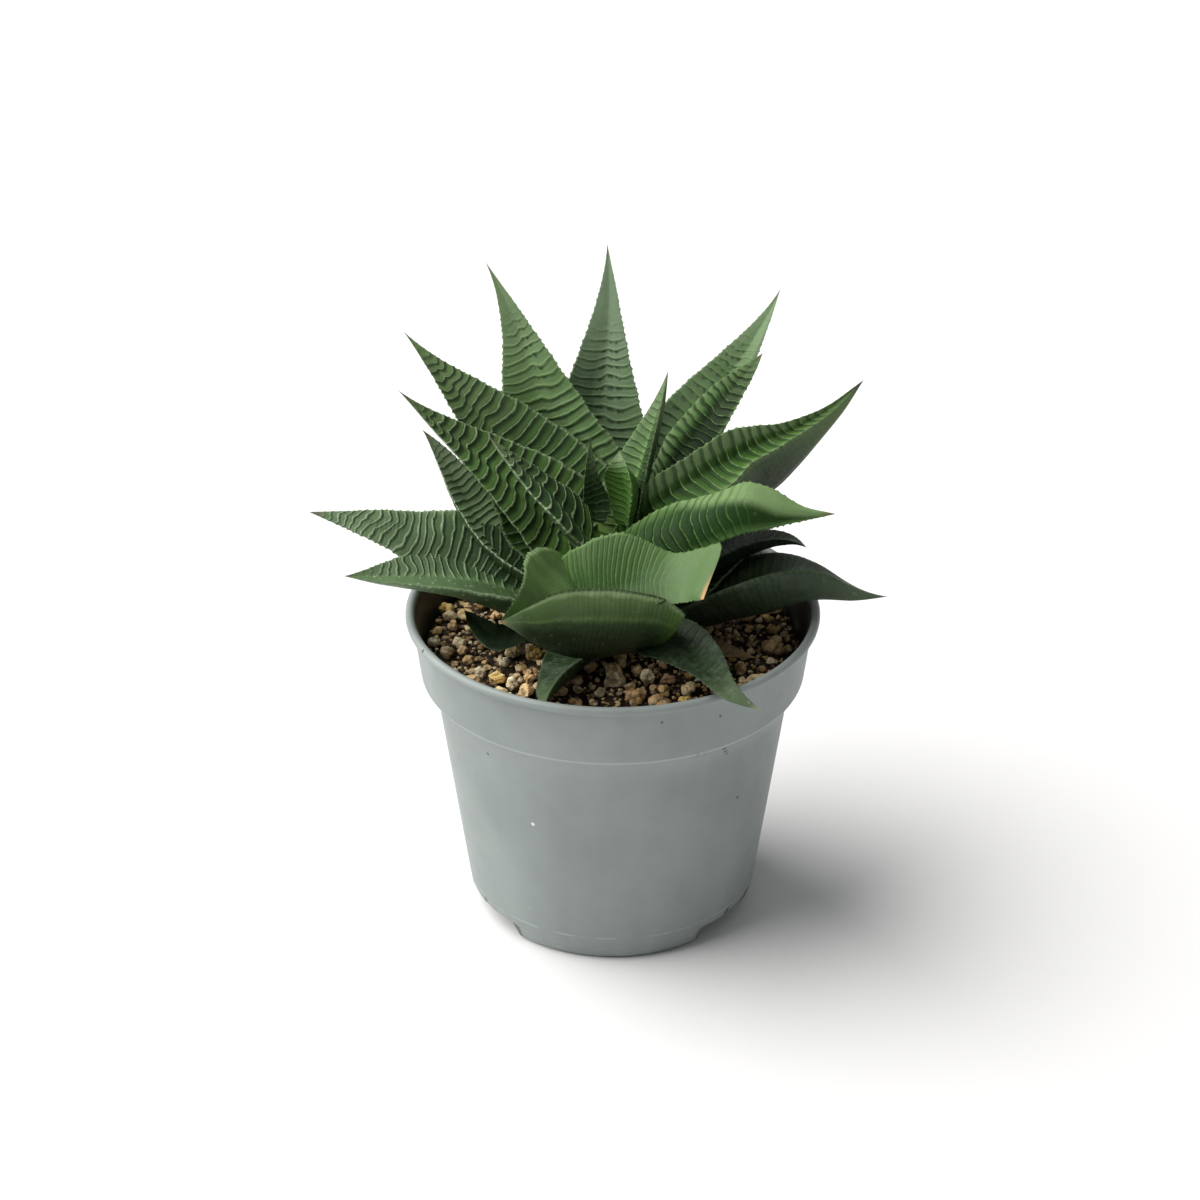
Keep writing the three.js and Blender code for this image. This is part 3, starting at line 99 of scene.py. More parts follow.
STONES = [
    {'name': 'stone_01', 'c': [-37.0, 13.3, 63.4], 'h': [1.74, 1.67, 1.59], 'turn': 0, 'seed': 0.7},
    {'name': 'stone_02', 'c': [-39.0, -0.8, 63.3], 'h': [1.52, 1.5, 1.48], 'turn': 47, 'seed': 2.0},
    {'name': 'stone_03', 'c': [-35.2, 5.4, 63.7], 'h': [1.52, 1.44, 1.37], 'turn': 94, 'seed': 3.3},
    {'name': 'stone_04', 'c': [-35.9, -6.2, 63.6], 'h': [1.74, 1.61, 1.48], 'turn': 141, 'seed': 4.6},
    {'name': 'stone_05', 'c': [-27.8, 4.6, 64.6], 'h': [2.39, 2.1, 1.82], 'turn': 8, 'seed': 5.9},
    {'name': 'stone_06', 'c': [-32.3, -5.8, 63.9], 'h': [1.3, 1.28, 1.25], 'turn': 55, 'seed': 7.2},
    {'name': 'stone_07', 'c': [-21.3, -8.7, 65.3], 'h': [1.95, 1.89, 1.82], 'turn': 102, 'seed': 8.5},
    {'name': 'stone_08', 'c': [-17.2, -11.1, 65.6], 'h': [1.95, 1.94, 1.94], 'turn': 149, 'seed': 9.8},
    {'name': 'stone_09', 'c': [-24.7, -19.0, 64.3], 'h': [2.17, 1.94, 1.71], 'turn': 16, 'seed': 11.1},
    {'name': 'stone_10', 'c': [-28.2, -16.4, 64.0], 'h': [1.52, 1.5, 1.48], 'turn': 63, 'seed': 12.4},
    {'name': 'stone_11', 'c': [-21.4, -21.1, 64.3], 'h': [1.52, 1.5, 1.48], 'turn': 110, 'seed': 13.7},
    {'name': 'stone_12', 'c': [-17.9, -20.0, 64.6], 'h': [1.3, 1.33, 1.37], 'turn': 157, 'seed': 15.0},
    {'name': 'stone_13', 'c': [0.2, -20.7, 66.0], 'h': [2.93, 2.95, 2.96], 'turn': 24, 'seed': 16.3},
    {'name': 'stone_14', 'c': [4.4, -27.7, 64.7], 'h': [2.39, 2.16, 1.94], 'turn': 71, 'seed': 17.6},
    {'name': 'stone_15', 'c': [7.6, -20.2, 65.4], 'h': [1.84, 1.78, 1.71], 'turn': 118, 'seed': 18.9},
    {'name': 'stone_16', 'c': [10.7, -24.4, 64.7], 'h': [1.52, 1.5, 1.48], 'turn': 165, 'seed': 20.2},
    {'name': 'stone_17', 'c': [16.0, -23.2, 64.5], 'h': [1.95, 1.77, 1.59], 'turn': 32, 'seed': 21.5},
    {'name': 'stone_18', 'c': [35.0, -4.2, 64.0], 'h': [2.6, 2.38, 2.16], 'turn': 79, 'seed': 22.8},
    {'name': 'stone_19', 'c': [27.0, -14.7, 64.3], 'h': [1.52, 1.56, 1.59], 'turn': 126, 'seed': 24.1},
    {'name': 'stone_20', 'c': [35.6, 14.2, 63.5], 'h': [2.6, 2.21, 1.82], 'turn': 173, 'seed': 25.4},
    {'name': 'stone_21', 'c': [31.9, -14.5, 63.7], 'h': [1.52, 1.39, 1.25], 'turn': 40, 'seed': 26.7},
]


SOIL_TOP = [(0, 66.5), (14, 65.8), (28, 64.0), (41.2, 62.6)]


def soil_z(r):
    return np.interp(r, [a for a, b in SOIL_TOP], [b for a, b in SOIL_TOP])


# ------------------------------------------------------------------ mesh helpers
def new_object(name, verts, faces, smooth=True, attrs=None, scale=MM):
    me = bpy.data.meshes.new(name)
    v = np.asarray(verts, dtype=np.float64) * scale
    me.from_pydata([tuple(p) for p in v.tolist()], [], faces)
    me.validate(clean_customdata=False)
    me.update()
    if smooth:
        me.polygons.foreach_set("use_smooth", [True] * len(me.polygons))
    for key, values in (attrs or {}).items():
        a = me.attributes.new(key, "FLOAT", "POINT")
        a.data.foreach_set("value", np.asarray(values, dtype=np.float32))
    ob = bpy.data.objects.new(name, me)
    bpy.context.scene.collection.objects.link(ob)
    return ob


def fbm(p, seed, octaves=4, base=1.0):
    # smooth sum of rotated sines, the same each run
    rng = np.random.default_rng(seed)
    out = np.zeros(len(p))
    amp, freq = 1.0, base
    for _ in range(octaves):
        for _ in range(3):
            d = rng.normal(size=3)
            d /= np.linalg.norm(d)
            out += amp * np.sin((p @ d) * freq * (0.8 + 0.5 * rng.random()) + rng.random() * 6.283) / 3
        amp *= 0.55
        freq *= 1.95
    return out


def catmull(P, t):
    P = np.asarray(P, float)
    n = len(P)
    p = (n - 1) * np.clip(t, 0, 1)
    i = np.minimum(np.floor(p).astype(int), n - 2)
    w = (p - i)[:, None]
    ext = np.vstack([2 * P[0] - P[1], P, 2 * P[-1] - P[-2]])
    p0, p1, p2, p3 = ext[i], ext[i + 1], ext[i + 2], ext[i + 3]
    t0, t1 = 0.5 * (p2 - p0), 0.5 * (p3 - p1)
    return p1 + t0 * w + (-3 * p1 + 3 * p2 - 2 * t0 - t1) * w ** 2 + (2 * p1 - 2 * p2 + t0 + t1) * w ** 3


def unit(a):
    return a / np.maximum(np.linalg.norm(a, axis=-1, keepdims=True), 1e-9)


def sections(leaf, t):
    if "rails" in leaf:
        A, C, B = [catmull(r, t) for r in leaf["rails"][:3]]
        M = (A + B) / 2
        S = A - B
        w = np.linalg.norm(S, axis=1) / 2
        S = unit(S)
        # near the tip the margins meet: keep the last good sideways direction
        good = np.where(w > 0.25)[0]
        if len(good):
            S[good[-1] + 1:] = S[good[-1]]
        T = unit(catmull(leaf["rails"][1], np.minimum(1, t + 0.01)) - catmull(leaf["rails"][1], np.maximum(0, t - 0.01)))
        U = unit(np.cross(T, S))
        D = C - M
        k = int(0.4 * len(t))
        if D[k] @ U[k] < 0:
            U = -U
        body = leaf["thick"] * np.power(np.maximum(0, 1 - t * t), 0.8) + 0.3 * np.minimum(1, 8 * (1 - t))
        keel = catmull(leaf["rails"][3], t) - M if len(leaf["rails"]) > 3 else None
        return M, S, w, D, U, T, body, keel
    P = np.asarray(leaf["P"], float)
    tt = t[:, None]
    u = 1 - tt
    M = P[0] * u ** 3 + P[1] * 3 * u * u * tt + P[2] * 3 * u * tt * tt + P[3] * tt ** 3
    T = unit((P[1] - P[0]) * 3 * u * u + (P[2] - P[1]) * 6 * u * tt + (P[3] - P[2]) * 3 * tt * tt)
    a = math.radians(leaf["az"])
    S0 = np.array([-math.sin(a), math.cos(a), 0.0])
    S0 = unit(S0 - T * (T @ S0)[:, None])
    N0 = np.cross(T, S0)
    r = np.radians(leaf["r0"] + (leaf["r1"] - leaf["r0"]) * t)[:, None]
    S = S0 * np.cos(r) + N0 * np.sin(r)
    U = S0 * np.sin(r) - N0 * np.cos(r)
    wide, W, b = leaf["wide"], leaf["W"], leaf["b"]
    w = np.where(t < wide, W * (b + (1 - b) * np.sin(np.pi / 2 * np.minimum(t / wide, 1))),
                 W * np.power(np.maximum(0, 1 - np.power(np.maximum(0, (t - wide) / (1 - wide)), leaf["q"])), leaf["e"]))
    ch = leaf["ch"] * w * (1 - 0.35 * t) * np.where(t < 0.15, 0.55 + 3 * t, 1)
    body = leaf["th"] * w * (1 + 0.9 * t * t) + 0.5 * np.minimum(1, 6 * (1 - t))
    return M, S, w, U * ch[:, None], U, T, body, None


# ------------------------------------------------------------------ node helpers
class Net:
    def __init__(self, name):
        self.mat = bpy.data.materials.new(name)
        self.mat.use_nodes = True
        self.t = self.mat.node_tree
        self.n, self.l = self.t.nodes, self.t.links
        self.n.clear()
        self.out = self.n.new("ShaderNodeOutputMaterial")
        self.b = self.n.new("ShaderNodeBsdfPrincipled")
        self.l.new(self.b.outputs[0], self.out.inputs[0])

    def put(self, socket, value):
        if hasattr(value, "is_output"):
            self.l.new(value, socket)
        elif value is not None:
            socket.default_value = value

    def attr(self, name):
        a = self.n.new("ShaderNodeAttribute")
        a.attribute_name = name
        return a.outputs["Fac"]

    def math(self, op, a, b=None, c=None, clamp=False):
        m = self.n.new("ShaderNodeMath")
        m.operation = op
        m.use_clamp = clamp
        for s, v in zip(m.inputs, (a, b, c)):
            self.put(s, v)
        return m.outputs[0]

    def smooth(self, x, lo, hi, a=0.0, b=1.0):
        m = self.n.new("ShaderNodeMapRange")
        m.interpolation_type = "SMOOTHSTEP"
        for k, v in (("Value", x), ("From Min", lo), ("From Max", hi), ("To Min", a), ("To Max", b)):
            self.put(m.inputs[k], v)
        return m.outputs[0]

    def mix(self, f, a, b, kind="MIX"):
        m = self.n.new("ShaderNodeMix")
        m.data_type = "RGBA"
        m.blend_type = kind
        self.put(m.inputs[0], f)
        self.put(m.inputs[6], a if hasattr(a, "is_output") else (*a, 1))
        self.put(m.inputs[7], b if hasattr(b, "is_output") else (*b, 1))
        return m.outputs[2]

    def coords(self, scale=(1, 1, 1)):
        c = self.n.new("ShaderNodeTexCoord")
        m = self.n.new("ShaderNodeMapping")
        m.inputs["Scale"].default_value = scale
        self.l.new(c.outputs["Object"], m.inputs["Vector"])
        return m.outputs[0]

    def combine(self, x, y, z=0.0):
        c = self.n.new("ShaderNodeCombineXYZ")
        for s, v in zip(c.inputs, (x, y, z)):
            self.put(s, v)
        return c.outputs[0]

    def noise(self, vec, scale, detail=3.0, rough=0.55):
        t = self.n.new("ShaderNodeTexNoise")
        t.inputs["Scale"].default_value = scale
        t.inputs["Detail"].default_value = detail
        t.inputs["Roughness"].default_value = rough
        self.l.new(vec, t.inputs["Vector"])
        return t.outputs["Fac"]

    def voronoi(self, vec, scale, random=1.0):
        t = self.n.new("ShaderNodeTexVoronoi")
        t.inputs["Scale"].default_value = scale
        t.inputs["Randomness"].default_value = random
        self.l.new(vec, t.inputs["Vector"])
        sep = self.n.new("ShaderNodeSeparateColor")
        self.l.new(t.outputs["Color"], sep.inputs[0])
        return t.outputs["Distance"], sep.outputs[0]

    def ramp(self, f, stops):
        r = self.n.new("ShaderNodeValToRGB")
        self.put(r.inputs[0], f)
        e = r.color_ramp.elements
        while len(e) > 1:
            e.remove(e[-1])
        e[0].position = stops[0][0]
        e[0].color = (*stops[0][1], 1)
        for p, c in stops[1:]:
            x = e.new(p)
            x.color = (*c, 1)
        return r.outputs[0]

    def bump(self, height, strength, distance):
        b = self.n.new("ShaderNodeBump")
        b.inputs["Strength"].default_value = strength
        b.inputs["Distance"].default_value = distance
        self.l.new(height, b.inputs["Height"])
        self.l.new(b.outputs[0], self.b.inputs["Normal"])


def lin(r, g, b):
    return tuple(((c / 255 + 0.055) / 1.055) ** 2.4 if c > 10 else c / 255 / 12.92 for c in (r, g, b))


# ------------------------------------------------------------------ leaves
BASE = dict(per=2.2, chev=0.35, scal=0.0, half=0.0, skew=0.0, wav=0.22, cw=0.13, ck=0.75, dw=0.34, trough_shade=0.8, f0=0.80, f1=0.97, H=0.32, lo_ck=0.35, dots=0.08,
            face=(66, 100, 44), shade_col=(20, 40, 16), crest=(140, 166, 118), tipcol=(100, 120, 82), under=(52, 76, 42), over=None, lo_over=None,
            inner=(92, 126, 46), end=(92, 84, 66), rows=None, rt=(0.3, 0.5), fork=0.35, grey=0.2, vee=1.7, flip=0, jag=0.32, n=260, t0=0.55, t1=0.97,
            tipskew=0.0, zone=None, root=None, spec=0.24, rough=0.46, mot=0.0)
LOOK = {
    "leaf_01": dict(over=((0, (77, 105, 64)), (0.25, (94, 121, 81)), (0.5, (103, 129, 92)), (0.60, (98, 123, 85)), (0.68, (57, 83, 44)), (1, (52, 75, 40))), shade_col=(31, 52, 28), cw=0.2, ck=0.3, dw=0.32, trough_shade=0.8,
                    rows=((0.14, 0.13), (-0.16, 0.13), (-0.44, 0.13)), rt=(0.32, 0.50), f0=0.62, f1=0.76, chev=0.1, scal=0.35, per=2.3, crest=(118, 142, 103), tipcol=(101, 121, 94), vee=1.15, grey=0.3, t0=0.4, t1=0.8, H=0.22),
    "leaf_02": dict(over=((0, (92, 122, 73)), (0.4, (100, 130, 79)), (0.7, (81, 111, 58)), (1, (75, 105, 53))), shade_col=(32, 56, 24), cw=0.22, ck=0.35, dw=0.32, trough_shade=0.8, chev=0.2, scal=0.3, per=2.5,
                    rows=((-0.08, 0.12), (-0.36, 0.12)), rt=(0.45, 0.62), f0=0.72, f1=0.84, crest=(120, 147, 100), tipcol=(102, 124, 88), vee=1.3, t0=0.5, t1=0.85, grey=0.25, H=0.26),
    "leaf_03": dict(face=(70, 103, 48), ck=0.9, per=2.5, chev=0.35, scal=0.3, half=0.2, trough_shade=0.8, tipcol=(106, 131, 84), shade_col=(25, 48, 19), H=0.2, dw=0.5, cw=0.12, crest=(139, 163, 120), inner=(66, 101, 40), t0=0.35, t1=0.9),
    "leaf_04": dict(face=(84, 118, 56), shade_col=(20, 42, 15), ck=0.95, per=2.9, chev=0.0, scal=0.3, half=0.5, trough_shade=0.9, H=0.24, vee=1.35, inner=(76, 116, 42), wav=0.08, fork=0.1, dw=0.5, cw=0.12, crest=(158, 182, 136)),
    "leaf_05": dict(face=(46, 76, 32), shade_col=(14, 30, 11), ck=0.95, per=3.0, chev=0.0, scal=0.42, half=0.5, H=0.28, crest=(162, 184, 140), vee=1.3, trough_shade=0.95, cw=0.12, wav=0.04, fork=0.04, dw=0.48, jag=0.12),
    # leaf 6 is painted far paler than its own green: painted light on a face turned away from the lamp
    "leaf_06": dict(face=(136, 162, 120), shade_col=(76, 100, 64), ck=0.5, trough_shade=0.6, per=1.9, chev=0.3, end=(130, 98, 66), grey=0.5, crest=(176, 196, 160), tipcol=(156, 170, 140), H=0.3),
    "leaf_07": dict(face=(64, 94, 50), ck=1.0, trough_shade=0.55, per=2.15, chev=0.45, skew=-0.5, flip=1, dots=0.3, shade_col=(18, 34, 16), under=(50, 72, 42), f0=0.9, f1=1.0, fork=0.6, wav=0.35, jag=0.2, H=0.26, root=(0.13, 0.3), inner=(30, 52, 22),
                    lo_over=((0, (140, 164, 118)), (0.05, (96, 122, 78)), (0.13, (48, 72, 38)), (0.45, (42, 66, 34)), (0.8, (40, 62, 32)), (1, (84, 110, 66))), crest=(150, 174, 134), cw=0.17, dw=0.3, t0=0.25, t1=0.75, tipcol=(92, 116, 80)),
    "leaf_08": dict(face=(62, 90, 48), ck=1.0, trough_shade=0.5, per=2.1, chev=0.5, skew=-0.4, dots=0.5, f0=0.75, f1=0.95, shade_col=(18, 34, 16), wav=0.4, fork=0.6, cw=0.16, jag=0.2, H=0.26, dw=0.3, zone=(0.22, 0.0), root=(0.16, 0.32), inner=(32, 56, 24), crest=(142, 166, 126),
                    over=((0, (160, 182, 140)), (0.03, (138, 162, 116)), (0.06, (42, 66, 32)), (0.3, (48, 74, 38)), (0.46, (62, 90, 50)), (0.54, (104, 130, 88)), (0.62, (74, 100, 60)), (0.92, (60, 84, 48)), (1, (120, 144, 104))), t0=0.3, t1=0.8, tipcol=(88, 112, 76)),
    "leaf_09": dict(face=(92, 120, 70), under=(60, 84, 42), shade_col=(30, 50, 20), crest=(128, 152, 106), ck=0.2, trough_shade=0.4, lo_ck=0.6, per=1.1, dots=0.12, f0=0.45, f1=0.8, H=0.08, end=(150, 128, 88), tipcol=(98, 122, 80), vee=1.5,
                    lo_over=((0, (140, 166, 118)), (0.024, (128, 154, 104)), (0.05, (82, 110, 60)), (0.13, (62, 88, 42)), (0.165, (78, 104, 56)), (0.2, (42, 60, 30)), (0.3, (24, 38, 18)), (0.5, (20, 32, 15)), (1, (70, 96, 52))), t0=0.8, t1=1.0),
    "leaf_10": dict(over=((0, (26, 46, 16)), (0.22, (36, 62, 22)), (0.5, (48, 80, 28)), (0.75, (66, 98, 42)), (1, (94, 122, 72))), shade_col=(22, 48, 12), crest=(98, 132, 70), ck=0.5, trough_shade=0.6, per=1.25, chev=0.2, skew=-1.6, f0=0.45, f1=0.72, H=0.2,
                    end=(190, 146, 100), tipcol=(82, 108, 64), dots=0.04, cw=0.2, dw=0.3, inner=(52, 88, 28), t0=0.45, t1=0.75, spec=0.18),
    "leaf_11": dict(face=(56, 88, 40), shade_col=(14, 36, 8), crest=(92, 128, 68), ck=0.7, trough_shade=0.6, per=2.1, chev=0.9, skew=-0.3, f0=0.5, f1=0.74, tipcol=(114, 140, 92), end=(104, 96, 66), flip=1, H=0.26, cw=0.1, dw=0.3, vee=1.9, spec=0.1, rough=0.55,
                    lo_over=((0, (96, 128, 74)), (0.05, (62, 94, 42)), (0.14, (28, 56, 14)), (0.55, (24, 50, 11)), (0.78, (36, 66, 20)), (0.93, (80, 112, 58)), (1, (118, 144, 98))), inner=(38, 74, 18), tipskew=0.34, t0=0.56, t1=0.74, grey=0.05),
    "leaf_12": dict(shade_col=(21, 44, 11), crest=(118, 148, 93), ck=0.85, trough_shade=0.7, per=2.5, chev=0.75, under=(63, 82, 49), H=0.3, cw=0.08, dw=0.36, tipcol=(80, 106, 57), end=(55, 51, 40), vee=1.4, wav=0.12, jag=0.12, fork=0.15, inner=(57, 93, 32), spec=0.14, grey=0.05,
                    over=((0, (139, 163, 118)), (0.05, (91, 124, 66)), (0.15, (63, 99, 38)), (0.4, (53, 87, 30)), (0.55, (44, 76, 25)), (0.66, (63, 97, 40)), (0.74, (114, 142, 93)), (1, (131, 158, 112))),
                    lo_ck=0.12, lo_over=((0, (91, 114, 74)), (0.06, (53, 74, 40)), (0.2, (36, 51, 27)), (0.5, (30, 40, 23)), (1, (38, 51, 30)))),
    "leaf_13": dict(over=((0, (30, 50, 22)), (0.08, (38, 60, 30)), (0.15, (98, 126, 82)), (0.42, (92, 122, 72)), (0.65, (72, 104, 52)), (1, (64, 94, 46))), shade_col=(26, 46, 20), cw=0.2, ck=0.25, dw=0.34, trough_shade=0.8,
                    rows=((0.10, 0.12), (0.40, 0.12), (0.72, 0.12)), rt=(0.28, 0.42), per=2.3, chev=0.3, crest=(118, 144, 98), tipcol=(96, 120, 84), vee=1.2, grey=0.3, f0=0.7, f1=0.85, t0=0.6, t1=0.95, H=0.24),
    "leaf_14": dict(shade_col=(12, 28, 8), spec=0.1, grey=0.0, ck=0.7, trough_shade=0.8, per=2.3, chev=0.5, crest=(100, 130, 78), vee=1.25, cw=0.1, H=0.34, tipcol=(84, 106, 68),
                    over=((0, (112, 140, 94)), (0.05, (60, 88, 40)), (0.1, (22, 42, 13)), (0.56, (16, 34, 10)), (0.66, (42, 70, 26)), (0.78, (92, 124, 70)), (1, (114, 142, 94)))),
    "leaf_15": dict(face=(74, 106, 49), shade_col=(33, 58, 21), ck=0.35, trough_shade=0.5, per=1.9, dots=0.3, under=(39, 62, 28), lo_ck=0.3, vee=1.2, crest=(121, 148, 92), H=0.16,
                    over=((0, (30, 49, 21)), (0.3, (35, 58, 25)), (0.44, (55, 83, 35)), (0.5, (99, 136, 70)), (0.6, (84, 120, 58)), (0.8, (69, 99, 49)), (1, (86, 116, 69)))),
    "leaf_16": dict(face=(46, 70, 34), per=1.4, ck=0.4, trough_shade=0.35, dots=0.4, under=(40, 64, 30), lo_ck=0.4, H=0.12, crest=(150, 172, 130), inner=(40, 66, 28)),
    "leaf_17": dict(face=(62, 98, 36), per=1.5, ck=0.4, trough_shade=0.4, dots=0.3, under=(56, 90, 34), lo_ck=0.4, H=0.12, crest=(120, 156, 88), inner=(58, 92, 34)),
    # leaves 18 and 19, low at the right, are painted much darker than the rest: painted shade
    "leaf_18": dict(face=(34, 48, 30), shade_col=(18, 28, 16), ck=0.2, trough_shade=0.4, per=2.0, dots=0.08, f0=0.3, f1=0.6, under=(40, 54, 36), crest=(74, 92, 66), tipcol=(70, 84, 62), H=0.2, inner=(30, 46, 22), edge=0.35,
                    over=((0, (74, 92, 66)), (0.04, (40, 56, 34)), (0.3, (30, 44, 26)), (0.5, (46, 62, 40)), (0.54, (30, 44, 26)), (0.95, (34, 48, 30)), (1, (70, 86, 62)))),
    "leaf_19": dict(face=(40, 56, 36), shade_col=(20, 30, 18), ck=0.2, trough_shade=0.4, per=1.8, under=(38, 52, 34), crest=(74, 92, 66), tipcol=(60, 74, 54), H=0.2, inner=(34, 50, 26), edge=0.4),
    "leaf_20": dict(face=(54, 72, 47), shade_col=(35, 50, 30), ck=0.05, trough_shade=0.14, per=2.0, dots=0.5, tipcol=(97, 116, 84), end=(150, 153, 124), grey=0.5, H=0.08, crest=(87, 102, 77), inner=(35, 52, 29), mot=0.6, t0=0.6),
    "leaf_21": dict(face=(48, 66, 40), shade_col=(30, 44, 26), ck=0.05, trough_shade=0.15, per=2.0, dots=0.4, tipcol=(66, 86, 54), grey=0.6, H=0.08, crest=(90, 108, 80), inner=(34, 50, 28), mot=0.6, under=(40, 58, 34)),
    # leaf 22 is painted dark: painted shade under leaves 8 and 9
    "leaf_22": dict(face=(34, 50, 30), shade_col=(22, 32, 20), ck=0.04, trough_shade=0.06, per=3.0, dots=0.1, tipcol=(46, 62, 40), H=0.02, crest=(70, 88, 62), inner=(28, 42, 24), mot=0.4, lo_ck=0.1),
    "leaf_23": dict(face=(84, 70, 46), shade_col=(50, 40, 28), ck=0.15, trough_shade=0.3, per=2.0, dots=0.05, tipcol=(104, 88, 60), inner=(80, 70, 46), crest=(120, 104, 78), under=(70, 58, 38), end=(120, 96, 60), H=0.14, mot=0.5),
}
for hidden in ("leaf_16", "leaf_17", "leaf_19", "leaf_22", "leaf_23", "leaf_24", "leaf_25", "leaf_26", "leaf_27"):
    LOOK.setdefault(hidden, {})["n"] = 160
N_UP, N_LO = 23, 15


def leaf_material(name, L):
    n = Net("mat_" + name)
    ph, sv, tt, up = n.attr("phase"), n.attr("sv"), n.attr("tt"), n.attr("up")
    obj = n.coords()
    big = n.noise(obj, 90, 2.0)          # patches about 10 mm
    mid = n.noise(obj, 420, 3.0)         # about 2 mm
    fine = n.noise(obj, 2600, 2.0)
    jag = n.math("MULTIPLY", n.math("SUBTRACT", mid, 0.5), L["jag"])
    f = n.math("FRACT", n.math("ADD", ph, jag))
    # one ridge: a thin crest, a painted shadow line on the side of the base, and painted shade darkening the slow fall
    # towards the tip
    knot = n.noise(obj, 1150, 2.0)        # about 0.9 mm, breaks the crests into beads
    off = n.math("ADD", n.math("ABSOLUTE", n.math("SUBTRACT", f, 0.34)), n.math("MULTIPLY", n.math("SUBTRACT", knot, 0.5), 0.16))
    crest = n.smooth(off, L["cw"], 0.01)
    dd = n.math("MINIMUM", n.math("ABSOLUTE", n.math("SUBTRACT", f, 0.12)), n.math("ABSOLUTE", n.math("SUBTRACT", f, 1.12)))
    trough = n.smooth(dd, L["dw"], 0.03)
    slope_shade = n.smooth(f, 1.05, 0.34)
    fade = n.smooth(tt, L["f1"], L["f0"])
    if L["zone"]:
        fade = n.math("MULTIPLY", fade, n.smooth(sv, L["zone"][0], L["zone"][1]))
    if L["root"]:
        fade = n.math("MULTIPLY", fade, n.smooth(tt, L["root"][0], L["root"][1]))
    onup = n.smooth(up, 0.4, 0.6)
    side = n.math("ADD", n.math("MULTIPLY", onup, 1 - L["lo_ck"]), L["lo_ck"])
    patch = n.smooth(mid, 0.30, 0.58, 0.45, 1.0)
    # face colour, along the leaf and in patches
    face = n.mix(n.smooth(big, 0.35, 0.65), lin(*[c * 0.90 for c in L["face"]]), lin(*[min(255, c * 1.10) for c in L["face"]]))
    across = n.math("MULTIPLY_ADD", n.math("ADD", sv, n.math("MULTIPLY", n.math("SUBTRACT", mid, 0.5), 0.10)), 0.5, 0.5)
    # the ramp across the face gives the leaf's own colours, and painted shade darkening the half turned away from the
    # light
    if L["over"]:
        face = n.ramp(across, [(p, lin(*c)) for p, c in L["over"]])
        face = n.mix(n.smooth(big, 0.35, 0.65, 0.22, 0.0), face, lin(*[c * 0.55 for c in L["face"]]))
    # painted shade: the face darkens from each crest down its slope towards the next trough
    face = n.mix(n.math("MULTIPLY", n.math("SUBTRACT", 1.0, slope_shade), 0.30), face, lin(*[c * 0.5 for c in L["face"]]))
    under = n.mix(n.smooth(big, 0.35, 0.65), lin(*[c * 0.9 for c in L["under"]]), lin(*[min(255, c * 1.1) for c in L["under"]]))
    # the ramp across the underside gives its own colours, and painted shade darkening the part turned away from the
    # light
    if L["lo_over"]:
        under = n.ramp(across, [(p, lin(*c)) for p, c in L["lo_over"]])
        under = n.mix(n.smooth(big, 0.35, 0.65, 0.2, 0.0), under, lin(*[c * 0.6 for c in L["under"]]))
        if L["flip"]:
            face, under = under, face
    col = n.mix(onup, under, face)
    if L["mot"] > 0:
        blot = n.noise(obj, 520, 4.0, 0.65)
        col = n.mix(n.smooth(blot, 0.56, 0.40, 0.0, L["mot"]), col, lin(*[c * 0.5 for c in L["face"]]))
        col = n.mix(n.smooth(blot, 0.60, 0.72, 0.0, L["mot"] * 0.5), col, lin(*[min(255, c * 1.5) for c in L["face"]]))
    col = n.mix(n.smooth(tt, 0.26, 0.02), col, lin(*L["inner"]))
    tip_t = n.math("ADD", tt, n.math("MULTIPLY", sv, L["tipskew"]))
    col = n.mix(n.smooth(tip_t, L["t0"], L["t1"], 0.0, 0.85), col, lin(*L["tipcol"]))
    # painted shadow: the trough colour stands in for the shade each crest casts on the side of the base
    trough_shade = n.math("MULTIPLY", n.math("MULTIPLY", trough, fade), n.math("MULTIPLY", side, L["trough_shade"]))
    if L["rows"]:
        # further out the painted shadow lines break up into rows of short dashes
        row = None
        for centre, half in L["rows"]:
            one = n.smooth(n.math("ABSOLUTE", n.math("SUBTRACT", sv, centre)), half, half * 0.45)
            row = one if row is None else n.math("MAXIMUM", row, one)
        row = n.math("MULTIPLY", row, n.smooth(knot, 0.36, 0.48))
        far = n.smooth(n.math("ADD", tt, n.math("MULTIPLY", n.math("SUBTRACT", big, 0.5), 0.2)), L["rt"][0], L["rt"][1])
        keep = n.math("ADD", n.math("MULTIPLY", row, far), n.math("SUBTRACT", 1.0, far))
        trough_shade = n.math("MULTIPLY", trough_shade, keep)
    col = n.mix(trough_shade, col, lin(*L["shade_col"]))
    ck = n.math("MULTIPLY", n.math("MULTIPLY", crest, fade), n.math("MULTIPLY", n.math("MULTIPLY", side, patch), L["ck"]))
    col = n.mix(ck, col, lin(*L["crest"]))
    # small pale raised dots, more of them where the ridges end and on the underside
    dist, rnd = n.voronoi(obj, 640)
    dot = n.math("MULTIPLY", n.smooth(dist, 0.30, 0.16), n.smooth(rnd, 0.50, 0.56))
    where = n.math("MAXIMUM", n.math("SUBTRACT", 1.0, n.math("MULTIPLY", fade, n.math("MAXIMUM", onup, 0.3))), 0.18)
    dotm = n.math("MULTIPLY", n.math("MULTIPLY", dot, where), L["dots"])
    col = n.mix(dotm, col, lin(160, 176, 142))
    # pale toothed margin
    tooth = n.noise(n.combine(n.math("MULTIPLY", n.attr("vmm"), 1.1), 0.0), 1.0, 1.0)
    edge = n.math("MULTIPLY", n.smooth(n.math("ABSOLUTE", sv), 0.93, 0.985), n.smooth(tooth, 0.38, 0.6, 0.15 * L.get("edge", 1.0), 0.7 * L.get("edge", 1.0)))
    col = n.mix(edge, col, lin(*[min(255, c * 0.9 + 6) for c in L["crest"]]))
